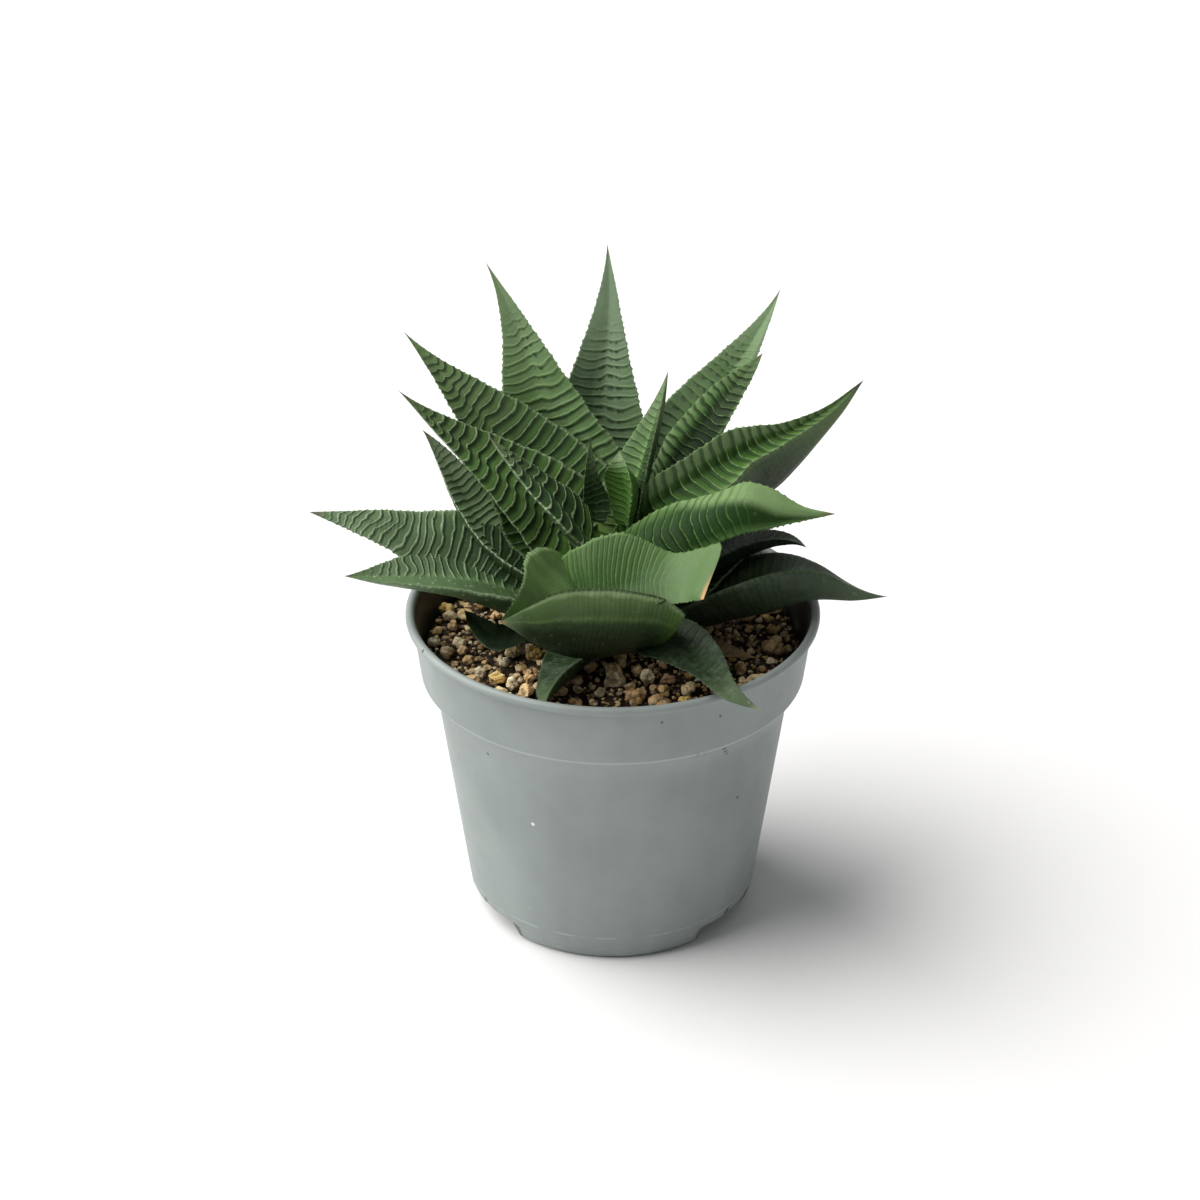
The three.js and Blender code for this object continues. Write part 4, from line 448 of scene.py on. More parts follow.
    # dusty grey film in patches
    film = n.math("MULTIPLY", n.smooth(n.noise(obj, 260, 4.0, 0.7), 0.45, 0.75), 0.30 * L["grey"])
    col = n.mix(film, col, lin(136, 146, 128))
    col = n.mix(n.math("MULTIPLY", n.smooth(tt, 0.93, 0.99), 0.9), col, lin(*L["end"]))
    n.l.new(col, n.b.inputs["Base Color"])
    ro = n.math("ADD", n.math("MULTIPLY", mid, 0.16), L["rough"] - 0.04)
    ro = n.math("ADD", ro, n.math("MULTIPLY", ck, 0.12))
    n.l.new(ro, n.b.inputs["Roughness"])
    n.b.inputs["Specular IOR Level"].default_value = L["spec"]
    relief = n.math("MULTIPLY", n.math("MULTIPLY", n.math("SUBTRACT", crest, n.math("MULTIPLY", trough, 0.8)), fade), n.math("MULTIPLY", side, 2.4 * L["H"]))
    h = n.math("ADD", n.math("MULTIPLY", fine, 0.5), n.math("MULTIPLY", dotm, 1.6))
    h = n.math("ADD", h, n.math("MULTIPLY", mid, 0.7))
    h = n.math("ADD", h, relief)
    n.bump(h, 0.5, 0.0003)
    return n.mat


def make_leaf(leaf, index):
    name = leaf["name"]
    L = {**BASE, **LOOK.get(name, {})}
    rng = np.random.default_rng(100 + index)
    count = L["n"]
    t = np.linspace(0, 1, count)
    t = t + 0.06 * np.sin(2 * np.pi * t) / (2 * np.pi)
    t[-1] = 1.0
    M, S, w, D, U, T, body, keel = sections(leaf, t)
    # small irregularities of growth
    v = np.concatenate([[0], np.cumsum(np.linalg.norm(np.diff(M, axis=0), axis=1))])
    length = v[-1]
    wob = 1 + 0.012 * np.sin(v * 0.55 + rng.random() * 6) + 0.010 * np.sin(v * 1.25 + rng.random() * 6)
    w = w * wob
    per = L["per"] * (1.12 - 0.34 * v / length) * (1 + 0.13 * np.sin(v * 0.83 + rng.random() * 6) + 0.09 * np.sin(v * 1.9 + rng.random() * 6))
    F = np.concatenate([[0], np.cumsum(np.diff(v) / ((per[1:] + per[:-1]) / 2))])
    ph0 = rng.random() * 6.28
    up_s = np.sin(np.linspace(-1, 1, N_UP) * np.pi / 2) * 0.55 + np.linspace(-1, 1, N_UP) * 0.45
    lo_s = (np.sin(np.linspace(1, -1, N_LO) * np.pi / 2) * 0.7 + np.linspace(1, -1, N_LO) * 0.3)[1:-1]
    ss = np.concatenate([up_s, lo_s])
    isup = np.concatenate([np.ones(N_UP), np.zeros(N_LO - 2)])
    n_t, ring = count - 1, len(ss)
    ridged = 1 - isup if L["flip"] else isup
    V = v[:n_t, None]
    s = ss[None, :]
    a = np.abs(s)
    # the ridges: their phase is shared by shape and colour
    fork = L["fork"] * np.tanh(s * 5) * np.sin(V * 0.23 + ph0) * 0.5
    wave = L["wav"] * (np.sin(2.1 * s + V * 0.31 + ph0) * 0.5 + np.sin(5.3 * s - V * 0.47 + 2 * ph0) * 0.3 + np.sin(9.7 * s + V * 0.9 + 3 * ph0) * 0.2)
    phase = F[:n_t, None] - L["chev"] * (a ** 1.6) * (1 - 0.4 * V / length) + fork + wave
    phase = phase + L["scal"] * (1 - ((a - 0.5) / 0.5) ** 2) + L["skew"] * s + L["half"] * np.clip(s * 12 + 0.5, 0, 1)
    f = phase - np.floor(phase)
    fw = np.where(f < 0.10, f + 1, f)
    rise = np.clip((fw - 0.10) / 0.24, 0, 1)
    drop = np.clip((fw - 0.34) / 0.76, 0, 1)
    prof = np.where(fw < 0.34, rise * rise * (3 - 2 * rise), 1 - drop ** 0.7) - 0.3
    fade = 1 - np.clip((t[:n_t, None] - L["f0"]) / (L["f1"] - L["f0"] + 1e-6), 0, 1)
    fade = fade * fade * (3 - 2 * fade)
    if L["zone"]:
        fade = fade * np.clip((s - L["zone"][0]) / (L["zone"][1] - L["zone"][0]), 0, 1)
    if L["root"]:
        fade = fade * np.clip((t[:n_t, None] - L["root"][0]) / (L["root"][1] - L["root"][0]), 0, 1)
    amp = L["H"] * fade * (1 - a ** 6) * np.where(ridged[None, :] > 0.5, 1.0, 0.45) * np.clip(w[:n_t, None] / 4.5, 0, 1)
    disp = amp * prof
    n3 = lambda x: x[:n_t, None, :]
    base = n3(M) + n3(S) * (w[:n_t, None] * s)[..., None]
    chan = n3(D) * (1 - a ** L["vee"])[..., None]
    thick = body[:n_t, None] * (0.5 * np.power(np.maximum(0, 1 - a ** 2.4), 0.6) + 0.5 * np.power(np.maximum(0, 1 - a), 1.05))
    low = np.where(isup[None, :] > 0.5, 0.0, thick)
    if keel is None:
        P = base + chan + n3(U) * low[..., None]
    else:
        under = n3(keel) * (0.6 * (1 - a ** 1.45) + 0.4 * (1 - a))[..., None]
        P = base + np.where(isup[None, :, None] > 0.5, chan, under)
        if name == "leaf_09":
            # a second blunt edge along the front of the curled leaf
            out = unit(np.cross(T, keel + S * w[:, None]))
            out = out * np.sign(-out[:, 1:2] + 1e-6)
            fold = np.exp(-((s + 0.66) / 0.13) ** 2) * np.clip((t[:n_t, None] - 0.30) / 0.3, 0, 1) * np.clip((1 - t[:n_t, None]) / 0.25, 0, 1)
            P = P + n3(out) * (1.1 * fold * (isup[None, :] < 0.5))[..., None]
    sign = np.where(isup[None, :] > 0.5, -1.0, 1.0)
    P = P + n3(U) * (sign * disp)[..., None]
    # fleshy swelling between the channel and the margin of the upper face
    swell = np.where(isup[None, :] > 0.5, 0.10 * np.minimum(w[:n_t, None], 6) * np.power(np.maximum(0, 1 - (2 * a - 1) ** 2), 1.0) * (a > 0), 0.0)
    P = P - n3(U) * (swell * 0.35)[..., None]
    # teeth on the margins
    tooth = 0.30 * np.maximum(0, np.sin(v[:n_t] * 2 * np.pi / 1.45 + ph0 + 1.3 * np.sin(v[:n_t] * 0.9))) ** 1.5 * np.clip(w[:n_t] / 3.5, 0.15, 1) * (t[:n_t] < 0.96)
    edge = (a > 0.999) + 0.35 * ((a > 0.95) & (a <= 0.999))
    P = P + n3(S) * (np.sign(s) * edge * tooth[:, None])[..., None]
    # broad unevenness
    nz = fbm(P.reshape(-1, 3) * 1.0, 500 + index, 3, 0.32).reshape(n_t, ring)
    P = P + n3(U) * (0.16 * nz * np.clip(w[:n_t, None] / 5, 0, 1))[..., None]
    verts = P.reshape(-1, 3)
    tip = M[-1][None]
    root = (M[0] + 0.3 * D[0] + 0.3 * U[0] * body[0])[None]
    verts = np.concatenate([verts, tip, root])
    k = np.arange(n_t - 1)[:, None] * ring
    j = np.arange(ring)[None, :]
    q = np.stack([k + j, k + (j + 1) % ring, k + ring + (j + 1) % ring, k + ring + j], -1).reshape(-1, 4)
    faces = [tuple(x) for x in q.tolist()]
    last, ti, ri = (n_t - 1) * ring, n_t * ring, n_t * ring + 1
    for jj in range(ring):
        faces.append((last + jj, last + (jj + 1) % ring, ti))
        faces.append(((jj + 1) % ring, jj, ri))
    # face outward
    A = verts[[fc[0] for fc in faces]]
    B = verts[[fc[1] for fc in faces]]
    C = verts[[fc[2] for fc in faces]]
    E = verts[[fc[3] if len(fc) == 4 else fc[2] for fc in faces]]
    vol = np.einsum("ij,ij->i", A, np.cross(B, C)).sum() + np.einsum("ij,ij->i", A, np.cross(C, E)).sum()
    if vol < 0:
        faces = [fc[::-1] for fc in faces]
    flat = lambda x, e1, e2: np.concatenate([np.broadcast_to(x, (n_t, ring)).reshape(-1), [e1, e2]])
    attrs = dict(phase=flat(phase, phase[-1].mean(), 0), sv=flat(s, 0, 0), tt=flat(t[:n_t, None], 1, 0),
                 up=flat(ridged[None, :], 1, 0), vmm=flat(V, length, 0))
    ob = new_object("leaf." + name[5:], verts, faces, True, attrs)
    ob.data.materials.append(leaf_material(name, L))
    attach(ob, "root")
    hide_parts(name)
    return ob


for i, leaf in enumerate(LEAVES):
    make_leaf(leaf, i)


# ------------------------------------------------------------------ pot
def round_profile(points, radii, steps=5):
    pts = [np.array(p, float) for p in points]
    out = [pts[0]]
    for i in range(1, len(pts) - 1):
        p, a, b = pts[i], pts[i - 1], pts[i + 1]
        r = radii.get(i, 0)
        la, lb = np.linalg.norm(a - p), np.linalg.norm(b - p)
        if r <= 0:
            out.append(p)
            continue
        k = min(r, 0.45 * la, 0.45 * lb)
        p0, p2 = p + (a - p) / la * k, p + (b - p) / lb * k
        for j in range(steps + 1):
            u = j / steps
            out.append((1 - u) ** 2 * p0 + 2 * u * (1 - u) * p + u * u * p2)
    out.append(pts[-1])
    return out


def densify(pts, gap):
    out = [pts[0]]
    for a, b in zip(pts[:-1], pts[1:]):
        k = max(1, int(np.linalg.norm(b - a) / gap))
        for j in range(1, k + 1):
            out.append(a + (b - a) * j / k)
    return out


def lathe(name, profile, seg):
    # profile starts and ends on the axis
    n = len(profile)
    ang = np.arange(seg) / seg * 2 * np.pi
    verts = [[0, 0, profile[0][1]]]
    for r, z in profile[1:-1]:
        verts += np.stack([r * np.cos(ang), r * np.sin(ang), np.full(seg, z)], 1).tolist()
    verts.append([0, 0, profile[-1][1]])
    faces = []
    for j in range(seg):
        faces.append((0, 1 + (j + 1) % seg, 1 + j))
    for i in range(n - 3):
        a, b = 1 + i * seg, 1 + (i + 1) * seg
        for j in range(seg):
            k = (j + 1) % seg
            faces.append((a + j, a + k, b + k, b + j))
    a, e = 1 + (n - 3) * seg, len(verts) - 1
    for j in range(seg):
        faces.append((a + j, a + (j + 1) % seg, e))
    return new_object(name, verts, faces)


def wedge(name, az, half, r0, r1, z0, z1, flare=0.0, steps=16):
    verts, faces = [], []
    for i in range(steps + 1):
        u = 2 * i / steps - 1
        for z, h in ((z0, half + flare), (z1, half)):
            a = math.radians(az + u * h)
            verts += [(r0 * math.cos(a), r0 * math.sin(a), z), (r1 * math.cos(a), r1 * math.sin(a), z)]
    for i in range(steps):
        a, b = 4 * i, 4 * (i + 1)
        faces += [(a, a + 1, b + 1, b), (a + 2, b + 2, b + 3, a + 3), (a, b, b + 2, a + 2), (a + 1, a + 3, b + 3, b + 1)]
    e = 4 * steps
    faces += [(0, 2, 3, 1), (e, e + 1, e + 3, e + 2)]
    return new_object(name, verts, [f[::-1] for f in faces], False)


def boolean(target, other, op):
    m = target.modifiers.new("b", "BOOLEAN")
    m.operation = op
    m.solver = "EXACT"
    m.object = other
    bpy.context.view_layer.update()
    dg = bpy.context.evaluated_depsgraph_get()
    me = bpy.data.meshes.new_from_object(target.evaluated_get(dg))
    old = target.data
    target.modifiers.clear()
    target.data = me
    bpy.data.meshes.remove(old)


def remove(ob):
    me = ob.data
    bpy.data.objects.remove(ob)
    bpy.data.meshes.remove(me)


def shade_by_angle(me, degrees):
    import bmesh
    bm = bmesh.new()
    bm.from_mesh(me)
    lim = math.radians(degrees)
    for e in bm.edges:
        e.smooth = not (len(e.link_faces) == 2 and e.calc_face_angle(0.0) > lim)
    for fc in bm.faces:
        fc.smooth = True
    bm.to_mesh(me)
    bm.free()


WALL, FLOOR = 1.15, 1.3
OUTER = [(29.3, 0), (30.3, 0.35), (30.95, 1.2), (32.2, 4.65), (38.65, 52.4), (41.95, 57.24), (43.55, 69.9)]
INNER = [(43.05, 70.9), (42.4, 69.6), (40.85, 58.2), (37.45, 53.0), (31.05, 5.0), (29.6, FLOOR + 0.5), (28.6, FLOOR)]
BEAD = [(44.03 + 0.98 * math.cos(math.radians(a)), 71.07 + 0.98 * math.sin(math.radians(a))) for a in np.linspace(-38, 172, 15)]
outer = round_profile([(0, 0)] + OUTER + [BEAD[0]], {1: 0.5, 2: 0.6, 3: 1.2, 5: 3.0, 6: 0.35, 7: 0.4})
inner = round_profile([BEAD[-1]] + INNER + [(0, FLOOR)], {1: 0.5, 2: 1.2, 3: 2.0, 4: 2.5, 5: 2.0, 6: 0.8})
prof = outer[:-1] + [np.array(b) for b in BEAD] + inner[1:]
prof = densify(prof, 2.2)
# the first and last stretch run to the axis in one step
POT_SEG = 180
pot = lathe("pot.body", [p for p in prof], POT_SEG)
full = lathe("pot.full", densify(outer[:-1], 4.0) + [np.array(b) for b in BEAD[:8]] + [np.array((0, 71.5))], POT_SEG)
for k, az in enumerate((-150, -35, 87)):
    wall = wedge("notch.wall", az, 16.5 + 2.0 * WALL, 24.5 - WALL, 60, -5, 4.9 + WALL, 3.4)
    boolean(wall, full, "INTERSECT")
    boolean(pot, wall, "UNION")
    remove(wall)
    void = wedge("notch.void", az, 16.5, 24.5, 60, -5, 4.9, 3.4)
    boolean(pot, void, "DIFFERENCE")
    remove(void)
    drain = wedge("notch.drain", az, 7.5, 26.1, 29.1, 3.9, 7.05, 0, 8)
    boolean(pot, drain, "DIFFERENCE")
    remove(drain)
remove(full)
shade_by_angle(pot.data, 32)


def pot_material():
    n = Net("mat_pot")
    obj = n.coords()
    c = n.n.new("ShaderNodeSeparateXYZ")
    n.l.new(obj, c.inputs[0])
    x, y, z = c.outputs
    r = n.math("POWER", n.math("ADD", n.math("MULTIPLY", x, x), n.math("MULTIPLY", y, y)), 0.5)
    big = n.noise(obj, 35, 3.0)
    mid = n.noise(obj, 220, 4.0, 0.6)
    rim_line = n.smooth(n.math("ABSOLUTE", n.math("SUBTRACT", z, 0.0572)), 0.00042, 0.00012)
    streak = n.noise(n.combine(n.math("MULTIPLY", x, 1.0), n.math("MULTIPLY", y, 1.0), n.math("MULTIPLY", z, 0.06)), 160, 3.0)
    fine = n.noise(obj, 3200, 2.0)
    col = n.mix(n.smooth(big, 0.3, 0.7), lin(127, 135, 133), lin(139, 147, 145))
    col = n.mix(n.math("MULTIPLY", n.smooth(streak, 0.35, 0.75), 0.10), col, lin(164, 172, 168))
    col = n.mix(n.math("MULTIPLY", n.smooth(mid, 0.5, 0.8), 0.14), col, lin(112, 120, 116))
    # tiny dark specks and a few pale ones
    dist, rnd = n.voronoi(obj, 150)
    speck = n.math("MULTIPLY", n.smooth(dist, 0.075, 0.045), n.smooth(rnd, 0.90, 0.905))
    col = n.mix(n.math("MULTIPLY", speck, 0.85), col, lin(52, 52, 50))
    dist2, rnd2 = n.voronoi(n.coords((1.0, 1.0, 1.0)), 210)
    pale = n.math("MULTIPLY", n.smooth(dist2, 0.07, 0.05), n.smooth(rnd2, 0.955, 0.96))
    col = n.mix(n.math("MULTIPLY", pale, 0.7), col, lin(206, 208, 202))
    for place, size, tone in (((9.9, -41.9, 67.4), 0.35, 60), ((22.1, -36.8, 65.8), 0.35, 50), ((17.6, -37.9, 57.2), 0.4, 50), ((19.0, -37.2, 57.0), 0.3, 70), ((23.2, -33.9, 56.2), 0.5, 34), ((23.6, -32.4, 54.6), 0.5, 34),
                              ((23.8, -31.1, 53.3), 0.4, 40), ((26.7, -25.1, 38.5), 0.4, 60), ((-17.1, -32.2, 36.2), 0.45, 228), ((-17.6, -38.0, 62.0), 0.3, 90)):
        vm = n.n.new("ShaderNodeVectorMath")
        vm.operation = "DISTANCE"
        n.l.new(obj, vm.inputs[0])
        vm.inputs[1].default_value = [q * MM for q in place]
        near = n.math("ADD", vm.outputs["Value"], n.math("MULTIPLY", n.math("SUBTRACT", fine, 0.5), 0.0003))
        col = n.mix(n.math("MULTIPLY", n.smooth(near, size * MM * 1.25, size * MM * 0.75), 0.8), col, lin(tone, tone, tone - 4))
    # scuffs towards the foot, and a faint painted highlight line above it where the wall turns into the foot
    scuff = n.math("MULTIPLY", n.smooth(n.noise(n.combine(x, y, n.math("MULTIPLY", z, 5.0)), 300, 4.0, 0.65), 0.55, 0.75), n.smooth(z, 0.016, 0.001))
    col = n.mix(n.math("MULTIPLY", scuff, 0.3), col, lin(190, 196, 192))
    foot_highlight = n.smooth(n.math("ABSOLUTE", n.math("SUBTRACT", z, 0.0066)), 0.00035, 0.0001)
    col = n.mix(n.math("MULTIPLY", foot_highlight, n.smooth(mid, 0.4, 0.6, 0.0, 0.4)), col, lin(178, 186, 182))
    # the sharp edge under the collar catches the light
    col = n.mix(n.math("MULTIPLY", rim_line, 0.5), col, lin(176, 184, 181))
    # the inside wall is near black, with brownish patches
    inside = n.smooth(n.attr("ins"), 0.45, 0.55)
    inner_col = n.mix(n.smooth(mid, 0.4, 0.65), lin(26, 27, 26), lin(52, 50, 44))
    col = n.mix(inside, col, inner_col)
    n.l.new(col, n.b.inputs["Base Color"])
    n.l.new(n.math("ADD", n.math("MULTIPLY", mid, 0.2), 0.40), n.b.inputs["Roughness"])
    n.b.inputs["Specular IOR Level"].default_value = 0.42
    h = n.math("ADD", n.math("MULTIPLY", fine, 0.25), n.math("MULTIPLY", mid, 0.6))
    n.bump(h, 0.25, 0.0001)
    return n.mat


co = np.empty(len(pot.data.vertices) * 3)
pot.data.vertices.foreach_get("co", co)
co = co.reshape(-1, 3) / MM
rr = np.hypot(co[:, 0], co[:, 1])
mid_wall = np.interp(co[:, 2], [0, 1.3, 5, 53, 58, 70, 71], [27, 29.5, 31.5, 38.1, 41.4, 42.9, 43.3])
inner_mask = ((rr < mid_wall) & (co[:, 2] > 1.0) & (co[:, 2] < 70.8)).astype(np.float32)
for az in (-150, -35, 87):
    d = np.abs((np.degrees(np.arctan2(co[:, 1], co[:, 0])) - az + 180) % 360 - 180)
    inner_mask[(d < 17.5 + 3.4) & (co[:, 2] < 5.0) & (rr > 24.4)] = 0
at = pot.data.attributes.new("ins", "FLOAT", "POINT")
at.data.foreach_set("value", inner_mask)
pot.data.materials.clear()
pot.data.materials.append(pot_material())
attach(pot, "root")
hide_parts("pot")

# ------------------------------------------------------------------ soil
def soil_object():
    seg = 168
    ang = np.arange(seg) / seg * 2 * np.pi
    verts, rings = [], []
    radii = np.linspace(0.9, 41.0, 46)
    for r in radii:
        x, y = r * np.cos(ang), r * np.sin(ang)
        p = np.stack([x, y, np.zeros(seg)], 1)
        h = soil_z(r) + 0.55 * fbm(p, 7, 4, 0.55) + 0.30 * fbm(p, 8, 3, 2.2) - 0.6
        if r > 40:
            h = h - 0.3
        rings.append(np.stack([x, y, h], 1))
    for r, z in ((41.0, 60.5), (40.4, 58.0), (37.15, 53.0), (30.7, 5.6), (29.2, FLOOR + 0.9), (28.2, FLOOR + 0.35)):
        rr = np.full(seg, float(r))
        if z < 6.5:
            # clear of the notch walls
            for az in (-150, -35, 87):
                d = np.abs((np.degrees(ang) - az + 180) % 360 - 180)
                rr = np.where(d < 24, np.minimum(rr, 22.9), rr)
        rings.append(np.stack([rr * np.cos(ang), rr * np.sin(ang), np.full(seg, z)], 1))
    verts = np.concatenate([[[0, 0, soil_z(0) - 0.6]]] + rings + [[[0, 0, FLOOR + 0.35]]])
    faces = [(0, 1 + j, 1 + (j + 1) % seg) for j in range(seg)]
    for i in range(len(rings) - 1):
        a, b = 1 + i * seg, 1 + (i + 1) * seg
        faces += [(a + j, b + j, b + (j + 1) % seg, a + (j + 1) % seg) for j in range(seg)]
    a, e = 1 + (len(rings) - 1) * seg, len(verts) - 1
    faces += [(a + j, e, a + (j + 1) % seg) for j in range(seg)]
    return new_object("soil.body", verts, faces)


def soil_material():
    n = Net("mat_soil")
    obj = n.coords()
    a = n.noise(obj, 260, 5.0, 0.65)
    b = n.noise(obj, 1400, 4.0, 0.6)
    col = n.ramp(a, [(0.28, lin(16, 13, 10)), (0.46, lin(38, 30, 22)), (0.60, lin(62, 48, 34)), (0.78, lin(96, 76, 52))])
    dist, rnd = n.voronoi(obj, 700)
    grain = n.math("MULTIPLY", n.smooth(dist, 0.42, 0.28), n.smooth(rnd, 0.60, 0.64))
    col = n.mix(n.math("MULTIPLY", grain, 0.75), col, n.mix(n.smooth(b, 0.4, 0.6), lin(112, 88, 58), lin(150, 126, 90)))
    n.l.new(col, n.b.inputs["Base Color"])
    n.b.inputs["Roughness"].default_value = 0.92
    n.b.inputs["Specular IOR Level"].default_value = 0.25
    n.bump(n.math("ADD", n.math("ADD", a, n.math("MULTIPLY", b, 0.5)), n.math("MULTIPLY", grain, 0.8)), 0.9, 0.0009)
    return n.mat


soil = soil_object()
soil.data.materials.append(soil_material())
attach(soil, "root")
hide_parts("soil")


# ------------------------------------------------------------------ grit
def ico(subdiv):
    p = (1 + 5 ** 0.5) / 2
    v = [(-1, p, 0), (1, p, 0), (-1, -p, 0), (1, -p, 0), (0, -1, p), (0, 1, p), (0, -1, -p), (0, 1, -p), (p, 0, -1), (p, 0, 1), (-p, 0, -1), (-p, 0, 1)]
    f = [(0, 11, 5), (0, 5, 1), (0, 1, 7), (0, 7, 10), (0, 10, 11), (1, 5, 9), (5, 11, 4), (11, 10, 2), (10, 7, 6), (7, 1, 8),
         (3, 9, 4), (3, 4, 2), (3, 2, 6), (3, 6, 8), (3, 8, 9), (4, 9, 5), (2, 4, 11), (6, 2, 10), (8, 6, 7), (9, 8, 1)]
    v = [np.array(x, float) / np.linalg.norm(x) for x in v]
    for _ in range(subdiv):
        cache, nf = {}, []

        def half(a, b):
            k = (min(a, b), max(a, b))
            if k not in cache:
                m = v[a] + v[b]
                v.append(m / np.linalg.norm(m))
                cache[k] = len(v) - 1
            return cache[k]
        for a, b, c in f:
            x, y, z = half(a, b), half(b, c), half(c, a)
            nf += [(a, x, z), (b, y, x), (c, z, y), (x, y, z)]
        f = nf
    return np.array(v), np.array(f)


ICO = {k: ico(k) for k in (1, 2, 3, 4)}


def stone_shape(h, seed, level, rough=1.0):
    rng = np.random.default_rng(seed)
    v, f = ICO[level]
    if rng.random() < 0.4:
        # a crumbly clump: the outer hull of a few overlapping balls
        rad = np.full(len(v), 0.3)
        for _ in range(rng.integers(6, 10)):
            c = rng.normal(size=3)
            c *= (0.32 + 0.22 * rng.random()) / np.linalg.norm(c)
            r = 0.36 + 0.22 * rng.random()
            b = v @ c
            disc = b * b - (c @ c - r * r)
            rad = np.maximum(rad, np.where(disc > 0, b + np.sqrt(np.maximum(disc, 0)), 0))
    else:
        # a broken stone: a ball cut by a few planes
        rad = np.ones(len(v))
        for _ in range(rng.integers(7, 12)):
            d = rng.normal(size=3)
            d /= np.linalg.norm(d)
            off = 0.48 + 0.34 * rng.random()
            c = v @ d
            rad = np.minimum(rad, np.where(c > 1e-3, off / np.maximum(c, 1e-3), 9))
        rad = rad * 0.8 + 0.2 * np.minimum(rad, 1.0)
    rad = rad + rough * (0.12 * fbm(v, seed + 1, 2, 3.2) + 0.075 * fbm(v, seed + 2, 2, 8.5))
    rad /= max(rad.max() * 0.98, 1e-6)
    p = v * rad[:, None] * np.array(h)
    a = rng.random() * 6.283
    R = np.array([[math.cos(a), -math.sin(a), 0], [math.sin(a), math.cos(a), 0], [0, 0, 1]])
    tilt = (rng.random() - 0.5) * 0.7
    Rx = np.array([[1, 0, 0], [0, math.cos(tilt), -math.sin(tilt)], [0, math.sin(tilt), math.cos(tilt)]])
    return p @ Rx.T @ R.T, f, rad


def grit_material(name, stops, bottom_dark=0.5):
    n = Net(name)
    obj = n.coords()
    rnd = n.attr("rnd")
    a = n.noise(obj, 700, 4.0, 0.6)
    b = n.noise(obj, 2600, 3.0, 0.6)
    col = n.ramp(rnd, stops)
    col = n.mix(n.smooth(a, 0.42, 0.72, 0.0, 0.30), col, lin(150, 112, 66), "MULTIPLY")
    col = n.mix(n.smooth(a, 0.58, 0.38, 0.0, 0.28), col, lin(232, 222, 200))
    dist, r2 = n.voronoi(obj, 2300)
    pit = n.math("MULTIPLY", n.smooth(dist, 0.34, 0.12), n.smooth(r2, 0.45, 0.55))
    col = n.mix(n.math("MULTIPLY", pit, 0.6), col, lin(74, 56, 38))
    low = n.attr("low")
    col = n.mix(n.smooth(n.math("ADD", n.attr("cav"), n.math("MULTIPLY", n.math("SUBTRACT", b, 0.5), 0.25)), 0.70, 0.50, 0.0, 0.55), col, lin(78, 58, 38))
    # darker towards the bottom of each stone
    col = n.mix(n.math("MULTIPLY", n.smooth(n.math("ADD", low, n.math("MULTIPLY", n.math("SUBTRACT", a, 0.5), 0.9)), 0.75, 0.25), bottom_dark), col, lin(48, 36, 25))
    n.l.new(col, n.b.inputs["Base Color"])
    n.b.inputs["Roughness"].default_value = 0.88
    n.b.inputs["Specular IOR Level"].default_value = 0.3
    h = n.math("SUBTRACT", n.math("ADD", n.math("MULTIPLY", b, 0.6), a), n.math("MULTIPLY", pit, 0.9))
    n.bump(h, 0.9, 0.00045)
    return n.mat


TAN = [(0.0, lin(232, 196, 138)), (0.16, lin(208, 168, 108)), (0.30, lin(244, 222, 172)), (0.42, lin(184, 142, 86)), (0.55, lin(250, 236, 198)),
       (0.66, lin(226, 198, 144)), (0.78, lin(150, 112, 70)), (0.88, lin(238, 200, 112)), (1.0, lin(204, 178, 134))]
mat_grit = grit_material("mat_grit", TAN, 0.3)
NAMED_TONE = {5: 0.30, 8: 0.88, 13: 0.55, 12: 0.16, 18: 0.0, 7: 0.30, 10: 0.55, 11: 0.57, 1: 0.88, 9: 0.88, 2: 0.55, 14: 0.42, 20: 0.16}
taken = []
for i, st in enumerate(STONES):
    h = [x * 1.14 for x in st["h"]]
    p, f, cav = stone_shape(h, 900 + i, 4 if max(h) > 2.6 else 3, 1.1)
    c = np.array(st["c"])
    p = p + c
    low = np.clip((p[:, 2] - (c[2] - h[2])) / (2 * h[2]), 0, 1)
    tone = NAMED_TONE.get(i + 1, (0.37 * (i + 1)) % 1)
    tones = np.full(len(p), tone)
    if st["name"] == "stone_13":
        # cream below, rusty brown on the top and round the crown
        up_ = (p - c) / np.array(h)
        wob = 0.16 * np.sin(7 * up_[:, 0] + 2.0) + 0.12 * np.sin(9 * up_[:, 1] + 5 * up_[:, 2])
        tones = 0.60 + 0.17 * np.clip((up_[:, 2] - 0.25 + wob) / 0.5, 0, 1)
    ob = new_object("grit." + st["name"][6:], p, [tuple(x) for x in f.tolist()], False, dict(rnd=tones, low=low, cav=cav))
    ob.data.materials.append(mat_grit)
    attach(ob, "root")
    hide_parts(st["name"])
    taken.append((c[0], c[1], max(h)))


